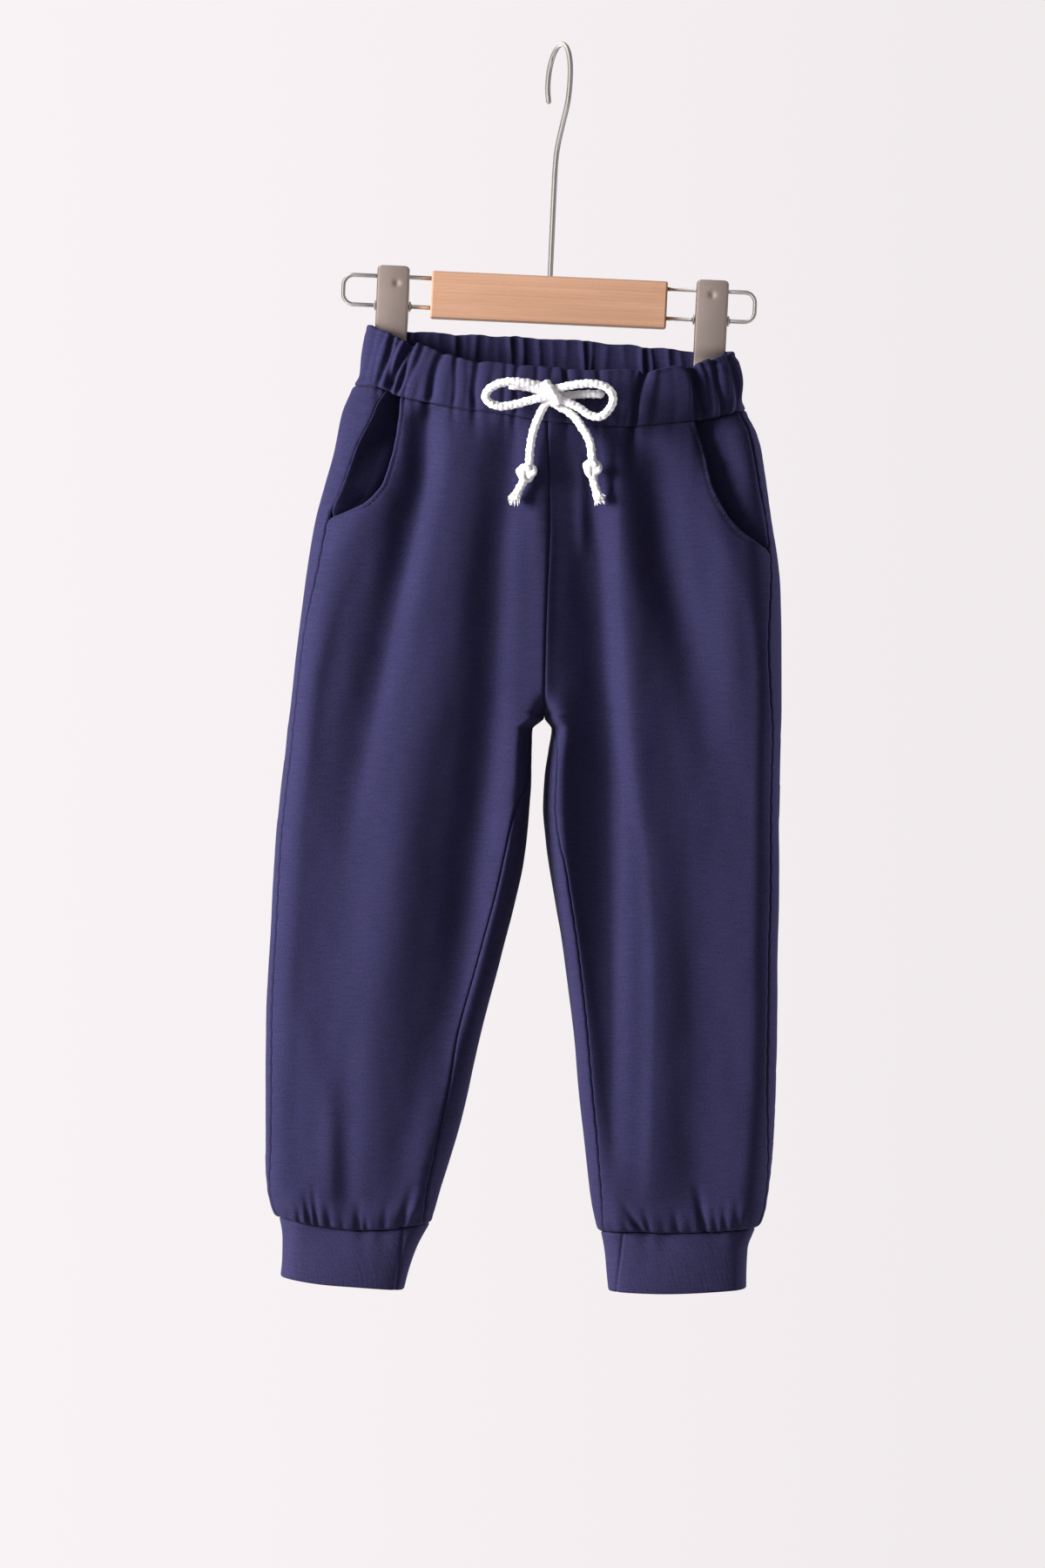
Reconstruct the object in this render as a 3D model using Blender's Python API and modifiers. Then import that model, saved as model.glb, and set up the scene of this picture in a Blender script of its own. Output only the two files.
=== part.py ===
"""Child's jogger sweatpants, clipped by the back of the waistband to a small clip hanger.

Metres, +Z up. The origin is the inner top of the hook, where it rests on a rail. The front of the
trousers faces -Y, and the wearer's left is at +X. Tables are in millimetres, because cloth is cut in
them: a "drop" is measured down from the rail, and x is measured across from the hook.
"""

import math

import bmesh
import bpy
import numpy as np
from mathutils import Matrix, Vector

MM = 0.001
GAP = 0.3  # between pieces that touch or are sewn together

# Cloth
CLOTH = 2.0  # French terry
BAND_CLOTH = 3.2  # waistband: cloth folded over its elastic
CUFF_CLOTH = 2.6  # rib, folded double
PANEL_COLUMNS = 13
BACK_COLUMNS = 15
BAND_STATIONS = 84
CUFF_STATIONS = 36

WAIST_DROP = 225.0  # nominal drop of the waistband seam
CROTCH_DROP = 416.0
ANKLE_DROP = 729.0  # nominal drop of the cuff seam
SAG_FADES_AT = 330.0  # below this drop, rows of the panels are level
ANKLE_FADES_FROM = 680.0
CROTCH_DEPTH = -8.0  # y of the point where the four panels meet

# Half of the body: outline and seams seen from the front. "side" and "inseam" say how far in front of
# the folded edge each seam has rolled.
HALF = ("drop", "outer", "inner", "side", "inseam")
RIGHT_HALF = (
    (205, -122.0, -5.3, 7.0, 0.0),
    (212, -125.5, -5.3, 7.0, 0.0),
    (227, -131.8, -5.3, 7.5, 0.0),
    (251, -136.5, -5.0, 8.0, 0.0),
    (273, -142.7, -4.4, 8.6, 0.0),
    (295, -148.5, -4.0, 8.6, 0.0),
    (323, -153.0, -4.8, 6.5, 0.0),
    (366, -159.0, -6.4, 4.2, 0.0),
    (402, -163.2, -7.1, 2.6, 0.0),
    (416.0, -164.7, -7.1, 2.6, 0.0),
    (423, -165.6, -14.2, 2.8, 0.4),
    (436, -166.8, -14.6, 3.0, 1.0),
    (456, -169.2, -14.8, 2.6, 2.6),
    (470, -170.8, -15.8, 2.2, 8.0),
    (490, -172.8, -17.6, 2.0, 11.5),
    (511, -174.3, -20.8, 2.0, 12.8),
    (565, -177.2, -34.0, 2.0, 13.6),
    (608, -178.9, -45.5, 2.0, 14.0),
    (645, -179.4, -53.7, 2.0, 12.2),
    (668, -179.6, -59.0, 2.0, 11.8),
    (690, -179.6, -65.6, 2.0, 9.6),
    (707, -178.4, -71.0, 2.0, 8.0),
    (719, -175.4, -74.4, 2.0, 6.0),
    (729, -170.6, -77.4, 2.0, 4.5),
)
LEFT_HALF = (
    (205, 113.0, -5.3, 6.0, 0.0),
    (226, 117.6, -5.3, 4.0, 0.0),
    (240, 124.2, -5.2, 5.0, 0.0),
    (251, 127.2, -5.0, 5.6, 0.0),
    (273, 130.4, -4.4, 5.4, 0.0),
    (295, 133.4, -4.0, 4.2, 0.0),
    (317, 136.7, -4.6, 5.2, 0.0),
    (339, 138.8, -5.6, 7.2, 0.0),
    (372, 139.6, -6.6, 9.2, 0.0),
    (405, 139.6, -7.1, 7.8, 0.0),
    (416.0, 139.5, -7.1, 6.8, 0.0),
    (423, 139.3, -2.6, 6.2, 1.6),
    (436, 138.9, -4.6, 5.6, 5.2),
    (452, 138.5, -7.0, 5.6, 7.0),
    (471, 138.2, -8.0, 5.8, 7.2),
    (490, 138.0, -6.3, 6.0, 7.6),
    (511, 137.8, -4.0, 6.2, 9.8),
    (559, 137.3, 3.4, 6.4, 9.0),
    (608, 136.9, 9.7, 6.6, 8.2),
    (645, 136.1, 12.6, 6.0, 8.0),
    (668, 135.0, 14.8, 4.2, 8.0),
    (690, 133.6, 17.5, 2.6, 7.0),
    (712, 131.0, 21.0, 1.8, 5.6),
    (724, 128.6, 25.0, 1.8, 3.6),
    (733, 123.6, 27.9, 1.8, 2.6),
)

# How deep the body is: y of its front, back and folded edges, how far each face takes to round over
# at the side and at the inner leg, and how far the inner edges have turned in towards the crotch.
DEPTH = ("drop", "front", "back", "edge", "front_round", "back_round", "leg_round", "turn")
DEPTHS = (
    (205, -36.0, 1.6, -7.0, 104, 7, 6, 0.0),
    (225, -36.5, 1.6, -7.0, 104, 7, 6, 0.0),
    (240, -38.5, 5.0, -7.5, 92, 16, 8, 0.0),
    (258, -40.0, 9.5, -8.0, 78, 24, 10, 0.0),
    (276, -41.5, 13.5, -8.5, 66, 30, 12, 0.0),
    (296, -42.0, 16.5, -8.5, 54, 33, 16, 0.0),
    (320, -42.0, 19.0, -8.5, 44, 34, 20, 0.0),
    (345, -41.5, 20.5, -8.5, 38, 34, 22, 0.0),
    (372, -40.5, 20.5, -8.5, 34, 33, 24, 0.0),
    (396, -39.5, 20.0, -8.5, 32, 32, 25, 0.0),
    (404, -39.0, 20.0, -8.5, 32, 32, 25, 0.12),
    (411, -38.6, 19.6, -8.5, 32, 32, 25, 0.42),
    (416.0, -38.2, 19.4, -8.5, 31, 31, 25, 1.0),
    (440, -37.2, 18.6, -8.5, 31, 31, 25, 1.0),
    (490, -35.0, 16.6, -8.5, 30, 30, 26, 1.0),
    (565, -32.5, 14.0, -8.5, 30, 30, 26, 1.0),
    (640, -30.5, 12.5, -8.5, 29, 29, 26, 1.0),
    (700, -29.0, 12.0, -8.0, 28, 28, 25, 1.0),
    (720, -27.0, 10.0, -8.0, 27, 27, 24, 1.0),
    (733, -24.0, 8.0, -8.0, 26, 26, 23, 1.0),
)

# Rows of a panel: fractions of the way down the pocket, then drops down to the ankle.
POCKET_ROWS = (0.0, 0.2, 0.42, 0.6, 0.75, 0.86, 0.94, 1.0)
LEG_ROWS = (
    342, 370, 394, 404, 411, CROTCH_DROP, 423, 436, 456, 480, 512, 552, 596, 638, 670, 694, 711, 722,
)

# Slant pocket mouths, as x across and drop down, and how far the facing lies behind the mouth.
MOUTH = ("drop", "x")
RIGHT_MOUTH = (
    (218.5, -95.6),
    (235, -97.2),
    (251.5, -99.9),
    (263, -103.0),
    (272, -106.0),
    (279, -111.0),
    (285, -118.0),
    (290, -129.0),
    (293.7, -140.1),
)
LEFT_MOUTH = (
    (234.0, 85.3),
    (254, 91.5),
    (273, 95.6),
    (287, 102.0),
    (298.4, 109.8),
    (308, 121.5),
    (314.3, 132.6),
)
FACING_HOLLOW = 11.0
FACING_OVERLAP = 12.0
FACING_SHARES = (0.0, 0.3, 0.65, 1.0)  # its columns, from the side seam to the mouth

# Edges that aren't level, as x across and drop down.
EDGE = ("x", "drop")
FRONT_SEAM = (
    (-124, 210.7), (-110, 212.6), (-101, 217.2), (-95, 219.0), (-78, 222.8), (-56, 227.2),
    (-37, 229.4), (-2, 235.0), (40, 238.0), (66, 236.2), (84, 234.4), (101, 231.0), (119, 225.7),
)
BACK_SEAM = ((-124, 210.7), (-90, 213.0), (0, 219.0), (60, 223.5), (119, 225.7))
FRONT_TOP = (
    (-114.5, 173.3), (-111.5, 175.2), (-93, 183.4), (-80, 188.3), (-60, 194.6), (-48, 198.0),
    (-25, 199.6), (0, 202.0), (32, 203.2), (56, 203.2), (74, 200.2), (85, 198.6), (105, 191.4),
    (110.7, 189.5),
)
BACK_TOP = ((-114.5, 173.3), (-90, 176.3), (0, 181.0), (58, 186.0), (84, 188.4), (110.7, 189.5))
RIGHT_CUFF_TOP = (
    (-170.6, 724.2), (-157, 727.0), (-138, 730.0), (-122, 731.8), (-105, 731.3), (-89, 729.2),
    (-77.4, 727.9),
)
RIGHT_CUFF_HEM = ((-170, 762.8), (-144, 766.8), (-122, 768.4), (-92, 770.2))
LEFT_CUFF_TOP = ((27.9, 733.2), (47, 732.5), (67, 733.4), (89, 733.0), (111, 731.8), (123.6, 730.9))
LEFT_CUFF_HEM = ((34, 770.2), (67, 771.2), (111, 769.4), (119, 768.6))

# The waistband, from its seam up to its folded top: share of the height, width as a share of the
# seam's, the middle's x, how far it puffs out in front, and the wall, which thins over the fold.
BAND_CENTRE = -2.7
BAND = ("share", "width", "centre", "puff", "wall")
BAND_ROWS = (
    (0.0, 1.0, -2.7, 0.0, BAND_CLOTH),
    (0.18, 0.972, -2.3, 1.3, BAND_CLOTH),
    (0.5, 0.962, -2.2, 2.0, BAND_CLOTH),
    (0.82, 0.946, -2.3, 1.4, BAND_CLOTH),
    (0.95, 0.937, -2.4, 0.5, BAND_CLOTH - 1.0),
    (1.0, 0.937, -2.4, 0.5, BAND_CLOTH - 2.2),
)
SIDE_PUFF = 0.3  # share of the puff that the band's ends take
# Gathers pressed into the front of the band: x at the top and at the seam, half width, depth.
BAND_FOLDS = (
    (-88, -104, 6, 3.0),
    (-70, -79, 7, 1.8),
    (-49, -50, 7, 1.6),
    (57, 50, 8, 2.6),
    (85, 92, 7, 3.0),
    (100, 108, 6, 1.6),
)

# The cuffs, from the seam down: share of the height, outer edge, inner edge.
CUFF = ("share", "outer", "inner")
RIGHT_CUFF = ((0.0, -170.6, -77.4), (0.35, -169.4, -84.0), (0.7, -169.4, -89.2), (1.0, -170.0, -93.0))
LEFT_CUFF = ((0.0, 123.6, 27.9), (0.35, 119.6, 31.4), (0.7, 118.8, 33.2), (1.0, 118.4, 34.8))
CUFF_FRONT, CUFF_BACK, CUFF_ROUND = -23.0, 7.0, 20.0
CUFF_RUN = 1.9  # how soon round the oval the straight run ends

FOLD_SHARPNESS = 1.7  # how fast a fold dies away across its half width
FOLD_HEAD, FOLD_FOOT = 0.12, 0.35  # shares of a fold's length over which it begins and ends

# Large soft folds: face (-1 front, 1 back), x and drop at the top, x and drop at the foot, half width,
# and height (a ridge stands out from the body, a trough goes in).
FOLDS = (
    (-1, -72, 226, -119, 450, 17, -5.0),
    (-1, -52, 234, -98, 520, 19, 3.5),
    (-1, -98, 500, -116, 690, 18, 2.5),
    (-1, -28, 228, -35, 500, 20, -5.0),
    (-1, -11, 240, -12, 420, 11, 1.5),
    (-1, 12, 236, 33, 640, 18, -6.0),
    (-1, 38, 260, 58, 640, 14, 2.5),
    (-1, 56, 236, 86, 440, 20, -5.0),
    (-1, 88, 240, 112, 430, 18, 2.5),
    (-1, -134, 600, -136, 722, 10, -3.0),
    (-1, -86, 540, -88, 722, 16, -3.5),
    (-1, 52, 600, 58, 722, 13, 2.5),
    (-1, 88, 500, 86, 722, 20, -3.5),
    (1, -84, 224, -112, 440, 18, -4.5),
    (1, -52, 226, -84, 520, 18, 3.5),
    (1, -26, 226, -36, 480, 16, -4.0),
    (1, 22, 226, 40, 600, 19, -5.0),
    (1, 56, 228, 76, 460, 18, 3.0),
    (1, 88, 228, 100, 430, 16, -4.0),
    (1, -120, 540, -130, 722, 15, 3.0),
    (1, -96, 540, -98, 722, 14, -3.0),
    (1, 62, 560, 66, 722, 14, 3.0),
    (1, 90, 560, 92, 722, 15, -3.0),
)

# Drawcord: routes as x, y and drop.
CORD = 5.6
RIGHT_LEAD = ((-25.0, -41.5, 215.0), (-20.0, -42.2, 214.6), (-14.0, -42.4, 215.6), (-9.6, -42.6, 216.6))
LEFT_LEAD = ((25.5, -41.2, 218.6), (19.0, -42.0, 218.6), (12.5, -42.3, 219.0), (3.2, -42.6, 219.6))
RIGHT_LOOP = (
    (-11.2, -48.8, 213.6), (-18.8, -50.6, 212.3), (-28.4, -51.0, 211.7), (-37.0, -50.6, 213.7),
    (-42.5, -49.4, 218.3), (-41.8, -48.6, 223.2), (-34.9, -47.8, 226.4), (-25.8, -47.4, 225.4),
    (-17.4, -47.6, 223.2), (-8.9, -48.2, 221.2),
)
LEFT_LOOP = (
    (0.8, -49.2, 215.6), (11.2, -51.0, 213.6), (20.2, -51.4, 212.8), (28.0, -51.0, 214.0),
    (33.0, -50.4, 217.2), (34.8, -49.8, 222.2), (32.8, -49.0, 227.8), (27.2, -48.2, 232.8),
    (20.0, -48.0, 231.6), (14.0, -48.2, 227.4), (3.8, -48.6, 222.6),
)
RIGHT_TAIL = (
    (-6.8, -44.0, 225.2), (-10.2, -43.8, 231.8), (-13.2, -43.8, 239.2), (-15.0, -44.4, 246.6),
    (-16.0, -45.2, 254.6), (-16.4, -45.8, 260.9),
)
LEFT_TAIL = (
    (1.8, -43.4, 226.2), (7.0, -42.9, 228.9), (12.0, -43.2, 233.4), (15.6, -43.8, 238.8),
    (18.6, -44.4, 243.4), (21.0, -45.2, 249.4), (22.0, -45.8, 258.6),
)
RIGHT_STUB = ((-20.6, -45.8, 273.4), (-23.2, -45.8, 278.2), (-25.4, -45.6, 283.2))
LEFT_STUB = ((22.6, -45.8, 270.2), (24.4, -45.8, 277.2), (26.6, -45.6, 283.2))
# Knots: centre (x, y, drop), half sizes along x, y and z before the turn, and the turn in degrees.
BOW_KNOT = ((-3.4, -46.2, 219.0), (4.8, 5.0, 9.2), -20)
RIGHT_KNOT = ((-17.9, -45.9, 266.9), (7.2, 4.6, 5.2), -28)
LEFT_KNOT = ((22.3, -45.9, 264.4), (6.2, 4.6, 5.2), -25)

# Hanger, drawn level and then tilted as it hangs.
HANGER_TILT = math.radians(2.6)
BLOCK_CENTRE = (3.0, 0.0, -157.0)
BLOCK_SIZE = (146.3, 12.0, 29.0)
BLOCK_BEVEL = 1.2
WIRE = 2.6
HOOK_WIRE = 3.5
WIRE_TOP, WIRE_LOW = -146.7, -165.0
WIRE_REACH = 129.0  # from the block's middle to the loop's end
WIRE_SEAT = 15.0  # how deep a wire's ends go into the block
HOOK_SEAT = 18.0
HOOK_RADIUS = 22.0
HOOK_YAW = math.radians(18)  # how far the hook has turned about its stem
CLIP_OFFSETS = (-96.8, 100.8)  # from the block's middle
CLIP_WIDTH = 20.0
PLATE = 0.8
# One half of a clip, seen from its side: y and z from the level line of the lower wire's height.
PLATE_FACE = ((-9.4, 24.2), (-8.6, 15.0), (-6.2, 0.0), (-4.4, -15.0), (-2.75, -26.5), (-3.5, -30.0))
EAR_BACK = ((3.2, -6.0), (3.2, 6.0), (-6.6, 19.6))
PIVOT_CLEARANCE = 0.3
SPRING_RADIUS, SPRING_WIRE, SPRING_TURNS = 2.7, 1.0, 5
NUT_RADIUS, NUT_THICK = 3.2, 1.1

NAVY = (0.034, 0.032, 0.098)
NAVY_RIB = (0.028, 0.027, 0.086)
WHITE = (0.86, 0.85, 0.84)
WOOD = (0.62, 0.36, 0.19)
STEEL = (0.55, 0.54, 0.52)


# ---------------------------------------------------------------- scene and materials


def clear_scene():
    for obj in list(bpy.data.objects):
        bpy.data.objects.remove(obj, do_unlink=True)


def new_collection(name, hidden=False):
    collection = bpy.data.collections.new(name)
    bpy.context.scene.collection.children.link(collection)
    collection.hide_render = hidden
    return collection


def material(name, colour, roughness, metallic=0.0):
    made = bpy.data.materials.get(name) or bpy.data.materials.new(name)
    made.use_nodes = True
    shader = made.node_tree.nodes["Principled BSDF"]
    shader.inputs["Base Color"].default_value = (*colour, 1.0)
    shader.inputs["Roughness"].default_value = roughness
    shader.inputs["Metallic"].default_value = metallic
    return made


def add_object(name, data, finish, collection):
    obj = bpy.data.objects.new(name, data)
    data.materials.append(finish)
    collection.objects.link(obj)
    return obj


def cut(target, cutter):
    """Takes the cutter out of the target and puts it with the other cutters."""
    modifier = target.modifiers.new("cut", "BOOLEAN")
    modifier.operation = "DIFFERENCE"
    modifier.solver = "EXACT"
    modifier.object = cutter
    cutter.hide_render = True
    cutter.display_type = "WIRE"


# ---------------------------------------------------------------- tables and smooth curves


def columns(names, rows):
    return dict(zip(names, np.array(rows, float).T))


def along(table, key, column, at):
    """A column of a table on a smooth curve through its rows, which never overshoots them."""
    xs, ys = table[key], table[column]
    at = np.clip(at, xs[0], xs[-1])
    i = int(np.clip(np.searchsorted(xs, at) - 1, 0, len(xs) - 2))
    steps = np.diff(xs)
    rise = np.diff(ys) / steps
    slopes = np.zeros(len(xs))
    same = rise[:-1] * rise[1:] > 0
    slopes[1:-1][same] = 2 * rise[:-1][same] * rise[1:][same] / (rise[:-1] + rise[1:])[same]
    slopes[0], slopes[-1] = rise[0], rise[-1]
    h = steps[i]
    t = (at - xs[i]) / h
    blend = t * t * (3 - 2 * t)
    return (
        ys[i] * (1 - blend) + ys[i + 1] * blend
        + h * (t * (1 - t) ** 2 * slopes[i] - t * t * (1 - t) * slopes[i + 1])
    )


def smooth_route(points, spacing):
    """Points at a spacing along a smooth curve through the route's own points."""
    p = np.array(points, float)
    p = np.vstack([2 * p[0] - p[1], p, 2 * p[-1] - p[-2]])
    fine = []
    for a, b, c, d in zip(p, p[1:], p[2:], p[3:]):
        for t in np.arange(0, 1, 1 / 16):
            fine.append(0.5 * (2 * b + (c - a) * t + (2 * a - 5 * b + 4 * c - d) * t**2
                               + (3 * b - a - 3 * c + d) * t**3))
    fine.append(p[-2])
    fine = np.array(fine)
    length = np.concatenate([[0], np.cumsum(np.linalg.norm(np.diff(fine, axis=0), axis=1))])
    count = max(3, round(length[-1] / spacing) + 1)
    at = np.linspace(0, length[-1], count)
    return np.column_stack([np.interp(at, length, fine[:, i]) for i in range(3)])


# ---------------------------------------------------------------- the body's shape


def fold_height(face, x, drop):
    """How far the large folds move the cloth out of the body at a point of its front or back."""
    total = 0.0
    for fold_face, x0, drop0, x1, drop1, half, height in FOLDS:
        if fold_face != face:
            continue
        down = (drop - drop0) / (drop1 - drop0)
        if not 0.0 < down < 1.0:
            continue
        across = (x - x0 - (x1 - x0) * down) / half
        fade = min(1.0, down / FOLD_HEAD) * min(1.0, (1.0 - down) / FOLD_FOOT)
        total += height * fade * math.exp(-FOLD_SHARPNESS * across * across)
    return total


class Half:
    """One half of the body: a torso half above the crotch and a whole leg below it."""

    def __init__(self, rows, mouth, cuff_top, inward):
        self.rows = columns(HALF, rows)
        self.mouth = columns(MOUTH, mouth)
        self.cuff_top = columns(EDGE, cuff_top)
        self.inward = inward  # +1 where x grows from the side towards the middle

    def sagged(self, x, face, drop):
        """The real drop of a point on the row that is nominally at this drop."""
        seam = FRONT_LINE if face < 0 else BACK_LINE
        top = max(0.0, (SAG_FADES_AT - drop) / (SAG_FADES_AT - WAIST_DROP))
        foot = max(0.0, (drop - ANKLE_FADES_FROM) / (ANKLE_DROP - ANKLE_FADES_FROM))
        return (
            drop
            + top * (along(seam, "x", "drop", x) - WAIST_DROP)
            + foot * (along(self.cuff_top, "x", "drop", x) - ANKLE_DROP)
        )

    def at(self, column, drop):
        return along(self.rows, "drop", column, drop)

    def section(self, drop):
        """The body's outer line at a row: points, outward normals, lengths and the side seam's place.

        It runs from the middle or the inseam over the front, round the side and back over the rear.
        """
        guess = self.at("outer", drop)
        side_drop = self.sagged(guess, -1, drop)
        outer, inner = self.at("outer", side_drop), self.at("inner", drop)
        side, inseam = self.at("side", side_drop), self.at("inseam", drop)
        front, back, edge, front_round, back_round, leg_round, turn = (
            along(BODY_DEPTH, "drop", name, drop) for name in DEPTH[1:]
        )
        quarter = np.linspace(0, math.pi / 2, 13)
        pieces = []
        for face, depth, side_round in ((-1, front, front_round), (1, back, back_round)):
            middle = depth + (CROTCH_DEPTH - depth) * turn
            inner_x = inner - self.inward * leg_round * (1 - np.cos(quarter))
            inner_y = depth + (middle - depth) * (1 - np.sin(quarter))
            outer_x = outer + self.inward * side_round * (1 - np.cos(quarter))
            outer_y = edge + (depth - edge) * np.sin(quarter)
            flat_x = np.linspace(inner_x[-1], outer_x[-1], 26)[1:-1]
            x = np.concatenate([inner_x, flat_x, outer_x[::-1]])
            y = np.concatenate([inner_y, np.full(24, depth), outer_y[::-1]])
            free = np.concatenate([
                1 - turn * (1 - np.sin(quarter)), np.ones(24), np.sin(quarter[::-1]),
            ])
            y = y + face * free * np.array([fold_height(face, here, drop) for here in x])
            drops = np.array([self.sagged(here, face, drop) for here in x])
            pieces.append(np.column_stack([x, y, -drops]))
        points = np.vstack([pieces[0], pieces[1][::-1][1:]])
        closed = turn > 0.999
        tangent = np.gradient(points, axis=0)
        if closed:
            tangent[0] = tangent[-1] = points[1] - points[-2]
        normal = np.column_stack([-tangent[:, 1], tangent[:, 0]]) * self.inward
        normal /= np.linalg.norm(normal, axis=1)[:, None]
        if inseam > 0:
            moved = int(np.argmax(np.abs(points[:, 0] - inner) >= inseam))
            points = np.vstack([points[moved:], points[1 : moved + 1]])
            normal = np.vstack([normal[moved:], normal[1 : moved + 1]])
        length = np.concatenate([[0], np.cumsum(np.linalg.norm(np.diff(points, axis=0), axis=1))])
        rim = int(np.argmax(np.abs(points[:, 0] - outer) < 1e-6))
        seam = np.interp(side, np.abs(points[: rim + 1, 0] - outer)[::-1], length[: rim + 1][::-1])
        return points, normal, length, seam

    def mouth_place(self, section):
        """The length along a section where the pocket's mouth crosses it."""
        points, _, length, seam = section
        front = length <= seam
        mouth = np.array([along(self.mouth, "drop", "x", -z) for z in points[front, 2]])
        past = (points[front, 0] - mouth) * self.inward
        return float(np.interp(0.0, past[::-1], length[front][::-1]))


def place(section, at, inset=0.0):
    """A point on a section's line, moved into the body by the inset."""
    points, normal, length, _ = section
    here = np.array([np.interp(at, length, points[:, i]) for i in range(3)])
    out = np.array([np.interp(at, length, normal[:, i]) for i in range(2)])
    here[:2] -= inset * out / np.linalg.norm(out)
    return here


FRONT_LINE = columns(EDGE, FRONT_SEAM)
BACK_LINE = columns(EDGE, BACK_SEAM)
BODY_DEPTH = columns(DEPTH, DEPTHS)
HALVES = {
    "right": Half(RIGHT_HALF, RIGHT_MOUTH, RIGHT_CUFF_TOP, 1),
    "left": Half(LEFT_HALF, LEFT_MOUTH, LEFT_CUFF_TOP, -1),
}


# ---------------------------------------------------------------- cloth solids


def wall(name, outer, inner, finish, collection, closed=False):
    """A cloth wall between two grids of points, rows down and columns across, in millimetres."""
    rows, across = len(outer), len(outer[0])
    mesh = bmesh.new()
    grids = [[[mesh.verts.new(Vector(p) * MM) for p in row] for row in grid] for grid in (outer, inner)]
    out, inn = grids
    last = across if closed else across - 1
    for r in range(rows - 1):
        for c in range(last):
            d = (c + 1) % across
            mesh.faces.new((out[r][c], out[r + 1][c], out[r + 1][d], out[r][d]))
            mesh.faces.new((inn[r][c], inn[r][d], inn[r + 1][d], inn[r + 1][c]))
    for c in range(last):
        d = (c + 1) % across
        mesh.faces.new((out[0][c], out[0][d], inn[0][d], inn[0][c]))
        mesh.faces.new((out[-1][c], inn[-1][c], inn[-1][d], out[-1][d]))
    if not closed:
        for r in range(rows - 1):
            mesh.faces.new((out[r][0], inn[r][0], inn[r + 1][0], out[r + 1][0]))
            mesh.faces.new((out[r][-1], out[r + 1][-1], inn[r + 1][-1], inn[r][-1]))
    bmesh.ops.recalc_face_normals(mesh, faces=mesh.faces)
    data = bpy.data.meshes.new(name)
    mesh.to_mesh(data)
    mesh.free()
    data.shade_smooth()
    return add_object(name, data, finish, collection)


def panel_drops(half):
    """The nominal drops of a panel's rows: down the pocket, the last one level with its foot, then on."""
    foot, foot_x = half.mouth["drop"][-1], half.mouth["x"][-1]
    level = foot
    for _ in range(12):
        level += foot - half.sagged(foot_x, -1, level)
    upper = [WAIST_DROP + (level - WAIST_DROP) * share for share in POCKET_ROWS]
    return upper, [*LEG_ROWS, ANKLE_DROP]


def trimmed(drops):
    """The panels stop half a gap short of the waistband and the cuffs."""
    return [drops[0] + GAP / 2, *drops[1:-1], drops[-1] - GAP / 2]


def front_panel(side, half, finish, collection):
    upper, lower = panel_drops(half)
    outer, inner = [], []
    for i, drop in enumerate(trimmed(upper + lower)):
        section = half.section(drop)
        start = half.mouth_place(section) if i < len(upper) - 1 else section[3]
        at = np.linspace(start - GAP / 2, GAP / 2, PANEL_COLUMNS)
        outer.append([place(section, a) for a in at])
        inner.append([place(section, a, CLOTH) for a in at])
    return wall(f"front_panel_{side}", outer, inner, finish, collection)


def back_panel(side, half, finish, collection):
    upper, lower = panel_drops(half)
    outer, inner = [], []
    for drop in trimmed(upper + lower):
        section = half.section(drop)
        at = np.linspace(section[3] + GAP / 2, section[2][-1] - GAP / 2, BACK_COLUMNS)
        outer.append([place(section, a) for a in at])
        inner.append([place(section, a, CLOTH) for a in at])
    return wall(f"back_panel_{side}", outer, inner, finish, collection)


def pocket_facing(side, half, finish, collection):
    """The hip piece that shows in the pocket's mouth: level with the side seam, hollow at the mouth."""
    upper, _ = panel_drops(half)
    behind = CLOTH + 2 * GAP
    outer, inner = [], []
    for i, drop in enumerate(trimmed(upper)):
        section = half.section(drop)
        seam = section[3] - GAP
        mouth = half.mouth_place(section)
        end = mouth - FACING_OVERLAP
        foot = i / (len(upper) - 1)
        hollow = FACING_HOLLOW * math.sin(math.pi * foot) ** 0.7 if foot < 1 else 0.0
        stops = [seam + (mouth - seam) * share for share in FACING_SHARES]
        row_out, row_in = [], []
        for at, share in zip([*stops, (mouth + end) / 2, end], [*FACING_SHARES, 1.0, 1.0]):
            depth = behind * (min(1.0, 2.2 * share) if foot < 1 else 1.0) + hollow * share
            row_out.append(place(section, at, depth))
            row_in.append(place(section, at, depth + CLOTH))
        outer.append(row_out)
        inner.append(row_in)
    return wall(f"pocket_facing_{side}", outer, inner, finish, collection)


def band_dent(x, share):
    """How far the gathers press the front of the waistband in."""
    total = 0.0
    for top_x, seam_x, half, depth in BAND_FOLDS:
        across = (x - seam_x - (top_x - seam_x) * share) / half
        total += depth * math.exp(-FOLD_SHARPNESS * across * across)
    return total


def ring_of(sections, stations):
    """Evenly spaced points and normals round one or two sections that make a closed ring."""
    points = np.vstack([sections[0][0], *(s[0][::-1][1:] for s in sections[1:])])
    normal = np.vstack([sections[0][1], *(s[1][::-1][1:] for s in sections[1:])])
    length = np.concatenate([[0], np.cumsum(np.linalg.norm(np.diff(points, axis=0), axis=1))])
    at = np.linspace(0, length[-1], stations + 1)[:-1]
    ring = np.column_stack([np.interp(at, length, points[:, i]) for i in range(3)])
    out = np.column_stack([np.interp(at, length, normal[:, i]) for i in range(2)])
    return ring, out / np.linalg.norm(out, axis=1)[:, None]


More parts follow.
